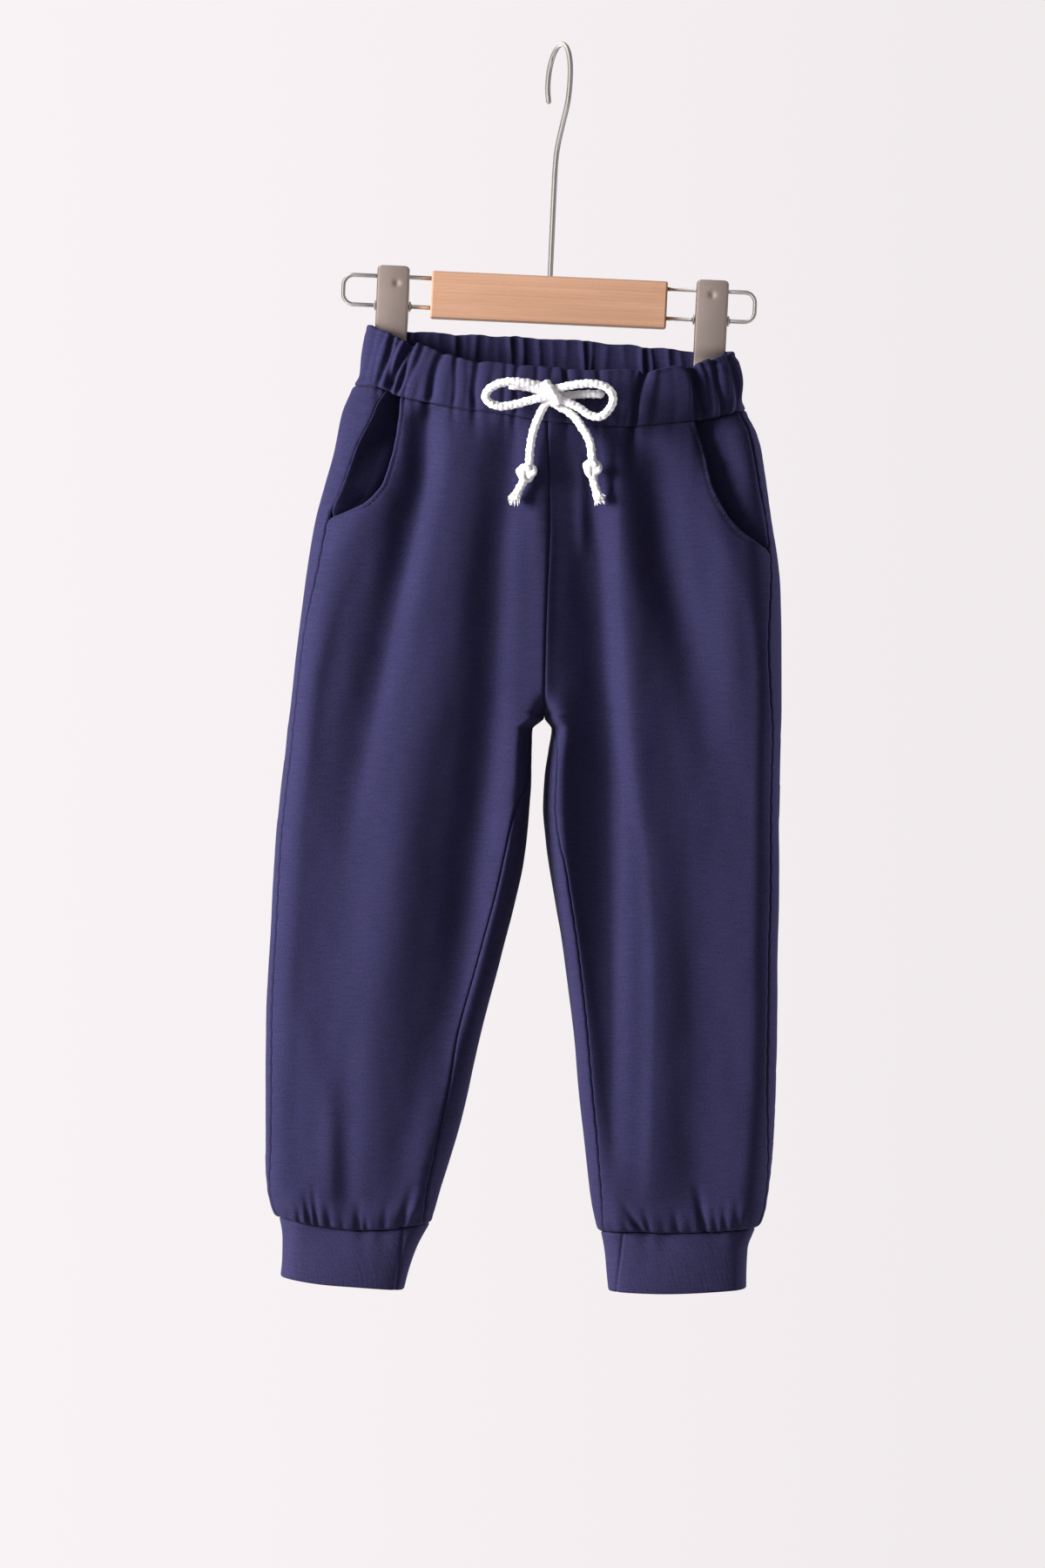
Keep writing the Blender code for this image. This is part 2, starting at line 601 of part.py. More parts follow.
def waistband(finish, collection):
    """The folded band: it starts from the body's line at the seam and narrows up to its own top edge."""
    ring, out = ring_of([HALVES[side].section(WAIST_DROP) for side in ("right", "left")], BAND_STATIONS)
    front_top, back_top = columns(EDGE, FRONT_TOP), columns(EDGE, BACK_TOP)
    rows = columns(BAND, BAND_ROWS)
    top_width, top_centre = rows["width"][-1], rows["centre"][-1]
    edge_y = along(BODY_DEPTH, "drop", "edge", WAIST_DROP)
    outer, inner = [], []
    for share, width, centre, puff, thick in zip(*(rows[name] for name in BAND)):
        row_out, row_in = [], []
        for (x, y, z), (nx, ny) in zip(ring, out):
            from_middle = x - BAND_CENTRE
            here = centre + from_middle * width
            edge = front_top if y < edge_y else back_top
            top = -along(edge, "x", "drop", top_centre + from_middle * top_width)
            foot = z + GAP
            front = max(0.0, -ny)
            dent = front * band_dent(here, share) * min(1.0, share * 6)
            swell = puff * max(front, abs(nx) * SIDE_PUFF) - dent
            thinned = (BAND_CLOTH - thick) / 2
            for row, inset in ((row_out, thinned), (row_in, BAND_CLOTH - thinned)):
                move = swell - inset
                row.append((here + nx * move, y + ny * move, foot + (top - foot) * share))
        outer.append(row_out)
        inner.append(row_in)
    return wall("waistband", outer, inner, finish, collection, closed=True)


def cuff(side, half, rows, hem, finish, collection):
    """A folded rib cuff: a flattened tube from the leg's seam to its hem."""
    table, foot = columns(CUFF, rows), columns(EDGE, hem)
    angles = np.linspace(0, 2 * math.pi, CUFF_STATIONS + 1)[:-1]
    middle, deep = (CUFF_FRONT + CUFF_BACK) / 2, (CUFF_BACK - CUFF_FRONT) / 2
    outer, inner = [], []
    for share, side_x, inner_x in zip(*(table[name] for name in CUFF)):
        centre, reach = (side_x + inner_x) / 2, abs(side_x - inner_x) / 2
        straight = reach - CUFF_ROUND
        row_out, row_in = [], []
        for angle in angles:
            c, s = math.cos(angle), math.sin(angle)
            # a rounded slot: its ends are half ovals at either side of a straight run
            run = math.copysign(min(1.0, abs(c) * CUFF_RUN), c) * straight
            for row, inset in ((row_out, 0.0), (row_in, CUFF_CLOTH)):
                x = centre + run + c * (CUFF_ROUND - inset)
                y = middle + s * (deep - inset)
                top = along(half.cuff_top, "x", "drop", x) + GAP
                row.append((x, y, -(top + (along(foot, "x", "drop", x) - top) * share)))
        outer.append(row_out)
        inner.append(row_in)
    return wall(f"cuff_{side}", outer, inner, finish, collection, closed=True)


# ---------------------------------------------------------------- cords, wires and knots


def tube(name, route, diameter, finish, collection, spacing=None, sides=2, smooth=True):
    """A cord or wire of this diameter along a route of x, y, z in millimetres."""
    points = smooth_route(route, spacing or diameter * 1.2) if smooth else np.array(route, float)
    curve = bpy.data.curves.new(name, "CURVE")
    curve.dimensions = "3D"
    curve.bevel_depth = diameter / 2 * MM
    curve.bevel_resolution = sides
    curve.use_fill_caps = True
    spline = curve.splines.new("POLY")
    spline.points.add(len(points) - 1)
    for point, at in zip(spline.points, points):
        point.co = (*(at * MM), 1.0)
    return add_object(name, curve, finish, collection)


def hanging(route):
    """A cord's route with its drops turned into heights."""
    return [(x, y, -drop) for x, y, drop in route]


def knot(name, centre, half_sizes, degrees, finish, collection):
    mesh = bmesh.new()
    bmesh.ops.create_uvsphere(mesh, u_segments=14, v_segments=9, radius=1.0)
    x, y, drop = centre
    place_it = (
        Matrix.Translation(Vector((x, y, -drop)) * MM)
        @ Matrix.Rotation(math.radians(degrees), 4, "Y")
        @ Matrix.Diagonal(Vector((*half_sizes, 1 / MM)) * MM)
    )
    bmesh.ops.transform(mesh, matrix=place_it, verts=mesh.verts)
    data = bpy.data.meshes.new(name)
    mesh.to_mesh(data)
    mesh.free()
    data.shade_smooth()
    return add_object(name, data, finish, collection)


def drawcord(collection):
    finish = material("white_cord", WHITE, 0.85)
    knot("bow_knot", *BOW_KNOT, finish, collection)
    knot("end_knot_right", *RIGHT_KNOT, finish, collection)
    knot("end_knot_left", *LEFT_KNOT, finish, collection)
    for name, route in (
        ("cord_lead_right", RIGHT_LEAD),
        ("cord_lead_left", LEFT_LEAD),
        ("cord_loop_right", RIGHT_LOOP),
        ("cord_loop_left", LEFT_LOOP),
        ("cord_tail_right", RIGHT_TAIL),
        ("cord_tail_left", LEFT_TAIL),
        ("cord_end_right", RIGHT_STUB),
        ("cord_end_left", LEFT_STUB),
    ):
        tube(name, hanging(route), CORD, finish, collection)


# ---------------------------------------------------------------- hanger


def cylinder(name, radius, length, centre, axis, collection, segments=20, finish=None):
    mesh = bmesh.new()
    bmesh.ops.create_cone(
        mesh, cap_ends=True, segments=segments, radius1=radius * MM, radius2=radius * MM, depth=length * MM
    )
    turn = Vector((0, 0, 1)).rotation_difference(Vector(axis)).to_matrix().to_4x4()
    bmesh.ops.transform(mesh, matrix=Matrix.Translation(Vector(centre) * MM) @ turn, verts=mesh.verts)
    data = bpy.data.meshes.new(name)
    mesh.to_mesh(data)
    mesh.free()
    return add_object(name, data, finish or material("cutter", (0.5, 0.5, 0.5), 0.5), collection)


def prism(name, outline, x0, x1, collection, finish):
    """A side outline of y and z, extruded along x between two planes."""
    mesh = bmesh.new()
    corners = [mesh.verts.new(Vector((x0, y, z)) * MM) for y, z in outline]
    face = mesh.faces.new(corners)
    made = bmesh.ops.extrude_face_region(mesh, geom=[face])
    moved = [item for item in made["geom"] if isinstance(item, bmesh.types.BMVert)]
    bmesh.ops.translate(mesh, vec=Vector((x1 - x0, 0, 0)) * MM, verts=moved)
    bmesh.ops.recalc_face_normals(mesh, faces=mesh.faces)
    data = bpy.data.meshes.new(name)
    mesh.to_mesh(data)
    mesh.free()
    return add_object(name, data, finish, collection)


def hanger_block(collection, cutters):
    mesh = bmesh.new()
    bmesh.ops.create_cube(mesh, size=1.0)
    size = Matrix.Diagonal(Vector((*BLOCK_SIZE, 1 / MM)) * MM)
    bmesh.ops.transform(mesh, matrix=Matrix.Translation(Vector(BLOCK_CENTRE) * MM) @ size, verts=mesh.verts)
    data = bpy.data.meshes.new("hanger_block")
    mesh.to_mesh(data)
    mesh.free()
    block = add_object("hanger_block", data, material("maple", WOOD, 0.45), collection)
    bevel = block.modifiers.new("edges", "BEVEL")
    bevel.width = BLOCK_BEVEL * MM
    bevel.segments = 2
    spare = 4.0
    for end in (-1, 1):
        depth = WIRE_SEAT + GAP + spare
        x = BLOCK_CENTRE[0] + end * (BLOCK_SIZE[0] / 2 + spare - depth / 2)
        for i, z in enumerate((WIRE_TOP, WIRE_LOW)):
            hole = cylinder(f"wire_hole_{end}_{i}", WIRE / 2 + GAP, depth, (x, 0, z), (1, 0, 0), cutters)
            cut(block, hole)
    depth = HOOK_SEAT + GAP + spare
    stem = (BLOCK_CENTRE[0], 0, BLOCK_CENTRE[2] + BLOCK_SIZE[2] / 2 + spare - depth / 2)
    cut(block, cylinder("stem_hole", HOOK_WIRE / 2 + GAP, depth, stem, (0, 0, 1), cutters))
    return block


def wire_loop(name, end, collection):
    """One side's wire: out of the block, round a half circle and back into it."""
    middle, reach = BLOCK_CENTRE[0], WIRE_REACH - WIRE / 2
    radius = (WIRE_TOP - WIRE_LOW) / 2
    inside = BLOCK_SIZE[0] / 2 - WIRE_SEAT
    route = [(middle + end * inside, 0, WIRE_TOP)]
    for angle in np.linspace(math.pi / 2, -math.pi / 2, 13):
        x = middle + end * (reach - radius + radius * math.cos(angle))
        route.append((x, 0, WIRE_LOW + radius + radius * math.sin(angle)))
    route.append((middle + end * inside, 0, WIRE_LOW))
    return tube(name, route, WIRE, material("nickel_wire", STEEL, 0.3, 1.0), collection, smooth=False)


def hook(collection):
    """The hook: a stem out of the block, a forward bend and a round top over the rail."""
    forward = (math.sin(HOOK_YAW), -math.cos(HOOK_YAW))
    stem_x = BLOCK_CENTRE[0]
    foot = BLOCK_CENTRE[2] + BLOCK_SIZE[2] / 2 - HOOK_SEAT
    crown = HOOK_WIRE / 2 - HOOK_RADIUS  # height of the round top's centre
    neck = [(stem_x, 0.0, foot), (stem_x, 0.0, -120.0), (stem_x, 0.0, -90.0)]
    for reach, z in ((0.6, -72.0), (3.6, -61.0), (11.0, -49.0), (18.4, -38.0), (21.4, -29.0)):
        neck.append((stem_x + forward[0] * reach, forward[1] * reach, z))
    for degrees in range(0, 211, 15):
        angle = math.radians(degrees)
        reach = HOOK_RADIUS * math.cos(angle)
        z = crown + HOOK_RADIUS * math.sin(angle)
        neck.append((stem_x + forward[0] * reach, forward[1] * reach, z))
    finish = material("nickel_wire", STEEL, 0.3, 1.0)
    return tube("hook", neck, HOOK_WIRE, finish, collection, spacing=4.2)


def clip_half(name, face, width, middle, collection, cutters):
    """A sprung plate with two ears that turn on the lower wire. face is -1 in front, 1 behind."""
    finish = material("clip_steel", STEEL, 0.35, 1.0)
    thick = PLATE
    back = [(y + thick, z) for y, z in PLATE_FACE[::-1]]
    outline = [*PLATE_FACE, *back[:3], *EAR_BACK, back[-1]]
    outline = [(-face * y, WIRE_LOW + z) for y, z in outline]
    half = prism(name, outline, middle - width / 2, middle + width / 2, collection, finish)
    hollow = [(y + thick, z) for y, z in PLATE_FACE]
    hollow = [(hollow[0][0], hollow[0][1] + 8), *hollow, (hollow[-1][0], hollow[-1][1] - 8)]
    hollow += [(14.0, hollow[-1][1]), (14.0, hollow[0][1])]
    hollow = [(-face * y, WIRE_LOW + z) for y, z in hollow]
    inside = width / 2 - thick
    cut(half, prism(name + "_hollow", hollow, middle - inside, middle + inside, cutters, finish))
    hole_radius = WIRE / 2 + PIVOT_CLEARANCE
    cut(half, cylinder(name + "_pivot", hole_radius, width + 8, (middle, 0, WIRE_LOW), (1, 0, 0), cutters))
    return half


def clip(side, offset, collection, cutters):
    middle = BLOCK_CENTRE[0] + offset
    steel = material("clip_steel", STEEL, 0.35, 1.0)
    clip_half(f"clip_front_{side}", -1, CLIP_WIDTH, middle, collection, cutters)
    clip_half(f"clip_back_{side}", 1, CLIP_WIDTH - 2 * (PLATE + 0.4), middle, collection, cutters)
    inside = CLIP_WIDTH / 2 - 2 * PLATE - 1.6
    steps = SPRING_TURNS * 10
    coil = []
    for i in range(steps + 1):
        angle = 2 * math.pi * i / 10
        x = middle - inside + 2 * inside * i / steps
        coil.append((x, SPRING_RADIUS * math.cos(angle), WIRE_LOW + SPRING_RADIUS * math.sin(angle)))
    tube(f"spring_{side}", coil, SPRING_WIRE, steel, collection, sides=1, smooth=False)
    for end, label in ((-1, "inner" if offset > 0 else "outer"), (1, "outer" if offset > 0 else "inner")):
        x = middle + end * (CLIP_WIDTH / 2 + GAP + NUT_THICK / 2)
        name = f"push_nut_{label}_{side}"
        nut = cylinder(name, NUT_RADIUS, NUT_THICK, (x, 0, WIRE_LOW), (1, 0, 0), collection, 16, steel)
        bore = cylinder(name + "_bore", WIRE / 2 + GAP, 6.0, (x, 0, WIRE_LOW), (1, 0, 0), cutters, 16)
        cut(nut, bore)


# ---------------------------------------------------------------- the whole object


def tilt(*collections):
    """Turns the level hanger and its cutters about the rail, as it hangs: its +X end lower."""
    pivot = bpy.data.objects.new("hanger_tilt", None)
    bpy.context.scene.collection.objects.link(pivot)
    for collection in collections:
        for obj in collection.objects:
            obj.parent = pivot
    pivot.rotation_euler = (0.0, HANGER_TILT, 0.0)


def main():
    clear_scene()
    body = new_collection("jogger_sweatpants")
    hanger = new_collection("clip_hanger")
    cutters = new_collection("cutters", hidden=True)
    terry = material("navy_terry", NAVY, 0.9)
    rib = material("navy_rib", NAVY_RIB, 0.9)
    for side, half in HALVES.items():
        front_panel(side, half, terry, body)
        back_panel(side, half, terry, body)
        pocket_facing(side, half, terry, body)
    waistband(terry, body)
    cuff("right", HALVES["right"], RIGHT_CUFF, RIGHT_CUFF_HEM, rib, body)
    cuff("left", HALVES["left"], LEFT_CUFF, LEFT_CUFF_HEM, rib, body)
    drawcord(body)
    hanger_block(hanger, cutters)
    wire_loop("wire_loop_right", -1, hanger)
    wire_loop("wire_loop_left", 1, hanger)
    hook(hanger)
    for side, offset in zip(("right", "left"), CLIP_OFFSETS):
        clip(side, offset, hanger, cutters)
    tilt(hanger, cutters)


main()
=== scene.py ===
# %% [markdown]
# # Jogger sweatpants on a clip hanger
# A child's sweatpants hang by the back of the waistband from a small wood and wire hanger. The packed
# model gives the frame: where every piece is and how big it is. This lesson gives the pieces their
# looks. The order is the camera and the finishes, then the drawcord, the cloth, the hanger and the
# light. Tables are in millimetres, because cloth is cut in them: a "drop" is measured down from the
# rail, and x is measured across from the hook.

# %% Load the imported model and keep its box
import math
import random

import bmesh
import bpy
import numpy as np
from mathutils import Matrix, Vector, noise


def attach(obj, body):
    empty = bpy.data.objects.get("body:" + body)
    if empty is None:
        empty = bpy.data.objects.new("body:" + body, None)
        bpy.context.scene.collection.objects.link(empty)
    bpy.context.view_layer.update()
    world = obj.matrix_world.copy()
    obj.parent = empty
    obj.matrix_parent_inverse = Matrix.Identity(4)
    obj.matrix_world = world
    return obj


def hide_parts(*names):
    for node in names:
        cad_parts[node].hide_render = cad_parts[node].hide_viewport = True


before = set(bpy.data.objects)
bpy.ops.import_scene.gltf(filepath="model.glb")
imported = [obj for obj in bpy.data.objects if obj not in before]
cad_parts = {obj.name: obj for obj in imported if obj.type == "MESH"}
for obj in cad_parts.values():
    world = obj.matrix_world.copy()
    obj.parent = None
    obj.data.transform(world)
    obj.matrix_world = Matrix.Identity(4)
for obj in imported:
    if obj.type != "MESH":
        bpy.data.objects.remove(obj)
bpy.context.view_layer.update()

MM = 0.001
FRONT, BACK = -1, 1

# %% [markdown]
# ## The camera
# The trousers are seen level, from straight in front, three metres away. A long lens at that distance
# keeps the legs' outlines almost parallel, as a product view does. The frame is taller than wide,
# so the sensor is fitted to its height.

# %% A level camera three metres in front
CAMERA_AT = (-0.0205, -3.0, -0.457)
VIEW_HEIGHT = 0.9725  # metres in view where the hanger is

camera_data = bpy.data.cameras.new("camera")
camera_data.sensor_fit = "VERTICAL"
camera_data.sensor_height = 36.0
camera_data.lens = camera_data.sensor_height * -CAMERA_AT[1] / VIEW_HEIGHT
camera = bpy.data.objects.new("camera", camera_data)
camera.location = CAMERA_AT
camera.rotation_euler = (math.radians(90), 0, 0)
bpy.context.scene.collection.objects.link(camera)
bpy.context.scene.camera = camera
print("lens:", round(camera_data.lens, 1), "mm")

# %% [markdown]
# ## From a grid of points to a piece
# Cloth, cords and bent sheet steel can all be drawn as a net: rows and columns of points. Blender makes
# a flat net with one operator, and its points are then moved to their places. Where a net closes on
# itself its two edges are merged. The net's own lengths, in metres, go into the UV map, so that a
# weave has its real size on every piece.


# %% Nets of points and smooth tables
def net(name, points, uv=None, outward=None, caps=False):
    """A mesh from points[row][column] in millimetres. uv gives each point's lengths in millimetres."""
    rows, across = points.shape[:2]
    mesh = bmesh.new()
    bmesh.ops.create_grid(mesh, x_segments=across - 1, y_segments=rows - 1, size=0.5)
    data = bpy.data.meshes.new(name)
    mesh.to_mesh(data)
    mesh.free()
    data.vertices.foreach_set("co", (points * MM).astype(np.float32).ravel())
    if uv is not None:
        corners = np.zeros(len(data.loops), np.int32)
        data.loops.foreach_get("vertex_index", corners)
        lengths = uv.reshape(-1, 2)[corners] * MM
        data.uv_layers.new(name="UVMap").data.foreach_set("uv", lengths.astype(np.float32).ravel())
    mesh = bmesh.new()
    mesh.from_mesh(data)
    bmesh.ops.remove_doubles(mesh, verts=mesh.verts, dist=1e-7)
    if caps:
        rims = [edge for edge in mesh.edges if edge.is_boundary]
        bmesh.ops.holes_fill(mesh, edges=rims, sides=0)
    if outward is None:
        bmesh.ops.recalc_face_normals(mesh, faces=mesh.faces)
    mesh.to_mesh(data)
    mesh.free()
    if outward is not None:
        facing = np.zeros(len(data.vertices) * 3, np.float32)
        data.vertex_normals.foreach_get("vector", facing)
        if (facing.reshape(-1, 3)[:, :2] * outward.reshape(-1, 2)).sum() < 0:
            data.flip_normals()
    data.shade_smooth()
    return data


def closed_tube(points):
    """A net whose last column is its first one, and whose last row is its first one."""
    points[:, -1] = points[:, 0]
    points[-1] = points[0]
    return points


def finished_mesh(name, mesh):
    """A mesh from a finished bmesh, which is then freed."""
    data = bpy.data.meshes.new(name)
    mesh.to_mesh(data)
    mesh.free()
    return data


def add_piece(name, data, finish, slot, *nodes):
    """Puts a finished mesh in the scene: it rides with the part and stands for these CAD nodes."""
    piece = bpy.data.objects.new(name, data)
    data.materials.append(finish)
    bpy.context.scene.collection.objects.link(piece)
    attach(piece, "root")
    if nodes:
        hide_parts(*nodes)
    return piece


def thicken(piece, millimetres):
    """Gives a net its thickness, all of it on the inner side."""
    wall = piece.modifiers.new("thickness", "SOLIDIFY")
    wall.thickness, wall.offset = millimetres * MM, -1.0


def columns(names, rows):
    """Rows of numbers as one array for each named column."""
    return dict(zip(names, np.array(rows, float).T))


def each_row(table, *names):
    """The rows of some of a table's columns, one after another."""
    return zip(*(table[name] for name in names))


def along(table, key, column, at):
    """A column of a table on a smooth curve through its rows, which never overshoots them."""
    xs, ys = table[key], table[column]
    at = np.clip(at, xs[0], xs[-1])
    i = np.clip(np.searchsorted(xs, at) - 1, 0, len(xs) - 2)
    steps = np.diff(xs)
    rise = np.diff(ys) / steps
    slopes = np.zeros(len(xs))
    same = rise[:-1] * rise[1:] > 0
    slopes[1:-1][same] = 2 * rise[:-1][same] * rise[1:][same] / (rise[:-1] + rise[1:])[same]
    slopes[0], slopes[-1] = rise[0], rise[-1]
    h = steps[i]
    t = (at - xs[i]) / h
    blend = t * t * (3 - 2 * t)
    return (
        ys[i] * (1 - blend) + ys[i + 1] * blend
        + h * (t * (1 - t) ** 2 * slopes[i] - t * t * (1 - t) * slopes[i + 1])
    )


def lengths_along(points):
    """How far along a line of points each of them is."""
    return np.concatenate([[0], np.cumsum(np.linalg.norm(np.diff(points, axis=0), axis=1))])


def smooth_route(points, spacing):
    """Points at a spacing along a smooth curve through the route's own points."""
    p = np.array(points, float)
    p = np.vstack([2 * p[0] - p[1], p, 2 * p[-1] - p[-2]])
    fine = []
    for a, b, c, d in zip(p, p[1:], p[2:], p[3:]):
        for t in np.arange(0, 1, 1 / 16):
            fine.append(0.5 * (2 * b + (c - a) * t + (2 * a - 5 * b + 4 * c - d) * t**2
                               + (3 * b - a - 3 * c + d) * t**3))
    fine = np.array([*fine, p[-2]])
    length = lengths_along(fine)
    at = np.linspace(0, length[-1], max(3, round(length[-1] / spacing) + 1))
    return np.column_stack([np.interp(at, length, fine[:, i]) for i in range(3)])


# %% [markdown]
# ## Shader sums
# A node tree is easier to read as a sum. One small class wraps a socket and turns + - * < > into Math
# nodes, and one method adds any other node.


# %% A class for materials
class Signal:
    """A number or colour on its way through a material's nodes."""

    def __init__(self, finish, socket):
        self.finish, self.socket = finish, socket

    def sum(self, operation, left, right):
        return self.finish.node("ShaderNodeMath", {"operation": operation}, {0: left, 1: right})

    def __add__(self, other):
        return self.sum("ADD", self, other)

    def __radd__(self, other):
        return self.sum("ADD", other, self)

    def __sub__(self, other):
        return self.sum("SUBTRACT", self, other)

    def __rsub__(self, other):
        return self.sum("SUBTRACT", other, self)

    def __mul__(self, other):
        return self.sum("MULTIPLY", self, other)

    def __rmul__(self, other):
        return self.sum("MULTIPLY", other, self)

    def __lt__(self, other):
        return self.sum("LESS_THAN", self, other)

    def __gt__(self, other):
        return self.sum("GREATER_THAN", self, other)


class Finish:
    """A material with one Principled shader."""

    def __init__(self, name, roughness, metallic=0.0, specular=0.5):
        self.material = bpy.data.materials.new(name)
        self.material.use_nodes = True
        self.tree = self.material.node_tree
        self.shader = self.tree.nodes["Principled BSDF"]
        self.fix("Roughness", roughness)
        self.fix("Metallic", metallic)
        self.fix("Specular IOR Level", specular)
        where = self.tree.nodes.new("ShaderNodeTexCoord")
        self.uv = Signal(self, where.outputs["UV"])
        self.place = Signal(self, where.outputs["Object"])

    def fix(self, socket, value):
        """A number or colour that is the same all over."""
        self.shader.inputs[socket].default_value = value

    def vary(self, socket, signal):
        """A number or colour that changes over the surface."""
        self.tree.links.new(signal.socket, self.shader.inputs[socket])

    def node(self, kind, settings, inputs, output=0):
        """Adds any node: its settings first, then the values or links of its sockets."""
        made = self.tree.nodes.new(kind)
        for setting, value in settings.items():
            setattr(made, setting, value)
        for socket, value in inputs.items():
            if isinstance(value, Signal):
                self.tree.links.new(value.socket, made.inputs[socket])
            else:
                made.inputs[socket].default_value = value
        return Signal(self, made.outputs[output])

    def stretched(self, coordinates, scale, turn=(0, 0, 0)):
        """Coordinates with a scale for each axis, for a pattern that is longer one way."""
        return self.node("ShaderNodeMapping", {}, {"Vector": coordinates, "Scale": scale, "Rotation": turn})

    def grain(self, coordinates, scale, detail=2.0, roughness=0.5):
        """Soft noise from 0 to 1."""
        return self.node("ShaderNodeTexNoise", {}, {
            "Vector": coordinates, "Scale": scale, "Detail": detail, "Roughness": roughness,
        })

    def blend(self, amount, first, second):
        """A colour between two colours."""
        return self.node("ShaderNodeMix", {"data_type": "RGBA"}, {0: amount, 6: first, 7: second}, 2)

    def relief(self, height, depth):
        """Fine relief, this many metres deep."""
        self.vary("Normal", self.node("ShaderNodeBump", {}, {"Height": height, "Distance": depth}))


def shade(colour, factor):
    """A darker or lighter colour."""
    return (*(channel * factor for channel in colour), 1.0)


# %% [markdown]
# ## The cloth and cord finishes
# French terry has a smooth knit face: upright rows of tiny loops, slightly uneven across, with a soft
# sheen where the nap catches light. The rib of the cuffs has upright ridges, close together. The cord
# is undyed cotton, so it is a warm white that only its braid shades.


# %% Cloth and cord materials
COURSES = (85.0, 950.0, 1.0)  # patches in each metre of cloth, across it and along it
FLUFF, CLOUDS = 720.0, 22.0  # patches in each metre, of the nap and of the dye
LINT_CELLS, LINT_REACH, LINT_SHARE = 32.0, 0.011, 0.8  # how many bits of lint, how big and how rare
LINT = (0.42, 0.42, 0.55, 1.0)
CLOTH_RELIEF = 0.00020
NAVY = (0.0202, 0.0187, 0.0512)
NAVY_RIB = (0.0240, 0.0221, 0.0585)
NAVY_SHEEN = (0.65, 0.62, 0.85, 1.0)
RIB_PITCH = 0.0015
CORD_DARK, CORD_LIGHT = (0.80, 0.785, 0.785, 1.0), (0.92, 0.91, 0.91, 1.0)


def terry_finish(name, colour, rib=0.0):
    """A navy knit. rib is the distance between its upright ridges in metres, or 0 on a smooth face."""
    finish = Finish(name, 0.86, specular=0.06)
    finish.fix("Sheen Weight", 0.03)
    finish.fix("Sheen Roughness", 0.45)
    finish.fix("Sheen Tint", NAVY_SHEEN)
    course = finish.grain(finish.stretched(finish.uv, COURSES), 1.0, 4.0, 0.65)
    fluff = finish.grain(finish.uv, FLUFF, 3.0, 0.7)
    cloud = finish.grain(finish.uv, CLOUDS, 2.0)
    tone = 0.11 + course * 0.68 + fluff * 0.90 + cloud * 0.20
    cells = {"Vector": finish.uv, "Scale": LINT_CELLS}
    speck = finish.node("ShaderNodeTexVoronoi", {}, cells) < LINT_REACH
    cell_colour = finish.node("ShaderNodeTexVoronoi", {}, cells, 1)
    chosen = finish.node("ShaderNodeSeparateColor", {}, {"Color": cell_colour}) > LINT_SHARE
    cloth = finish.blend(tone - 0.5, shade(colour, 0.5), shade(colour, 1.5))
    finish.vary("Base Color", finish.blend(speck * chosen * 0.55, cloth, LINT))
    if rib:
        ridge = finish.grain(finish.stretched(finish.uv, (1 / rib, 60.0, 1.0)), 1.0, 2.0)
        weave = ridge * 1.2 + fluff * 0.5
    else:
        weave = fluff * 0.9 + course * 0.6
    finish.relief(weave, CLOTH_RELIEF)
    return finish.material


def cord_finish():
    """White cotton, slightly see-through, with short fibres along the strands."""
    finish = Finish("white_cord", 0.8, specular=0.3)
    finish.fix("Subsurface Weight", 0.1)
    finish.fix("Subsurface Radius", (1.0, 0.95, 0.95))
    finish.fix("Subsurface Scale", 0.003)
    fibre = finish.grain(finish.stretched(finish.uv, (1600.0, 500.0, 1.0)), 1.0, 3.0, 0.6)
    finish.vary("Base Color", finish.blend(fibre, CORD_DARK, CORD_LIGHT))
    finish.relief(fibre, 0.00025)
    return finish.material


TERRY = terry_finish("navy_terry", NAVY)
RIB = terry_finish("navy_rib", NAVY_RIB, rib=RIB_PITCH)
WHITE = cord_finish()
print("cloth finishes:", TERRY.name, RIB.name, WHITE.name)

# %% [markdown]
# ## The drawcord
# One braided cotton cord runs through the waistband and comes out of it at two eyelets in front. It is
# tied in a bow, and each free end has an overhand knot and a frayed tip. Each half is modelled as one
# cord from its eyelet to its tip: behind the bow's knot, out round its loop, back through the knot and
# down its tail. The braid is real relief on the tube, because its outline shows against the navy
# cloth. The knots are cord too: closed turns of it that wrap the strands.

# %% Where the cord runs, as x, y and drop
CORD = 5.6
RIGHT_CORD = (
    (-27.0, -38.8, 213.2), (-25.0, -41.5, 213.4), (-20.0, -42.2, 214.0), (-14.0, -42.4, 215.2),
    (-9.6, -42.6, 216.6), (-4.6, -43.2, 216.6), (-2.0, -45.4, 215.8), (-4.6, -47.8, 214.6),
    (-11.2, -48.8, 213.6), (-18.8, -50.6, 212.3), (-28.4, -51.0, 211.7), (-37.0, -50.6, 213.7),
    (-42.5, -49.4, 218.3), (-41.8, -48.6, 223.2), (-34.9, -47.8, 226.4), (-25.8, -47.4, 225.4),
    (-17.4, -47.6, 223.2), (-8.9, -48.2, 221.2), (-3.6, -47.4, 220.4), (-2.4, -45.6, 222.0),
    (-6.8, -44.0, 225.2), (-10.2, -43.8, 231.8), (-13.2, -43.8, 239.2), (-15.0, -44.4, 246.6),
    (-16.0, -45.2, 254.6), (-16.4, -45.8, 260.9), (-18.4, -45.9, 267.2), (-20.6, -45.8, 273.4),
    (-23.2, -45.8, 278.2), (-25.4, -45.6, 283.2),
)
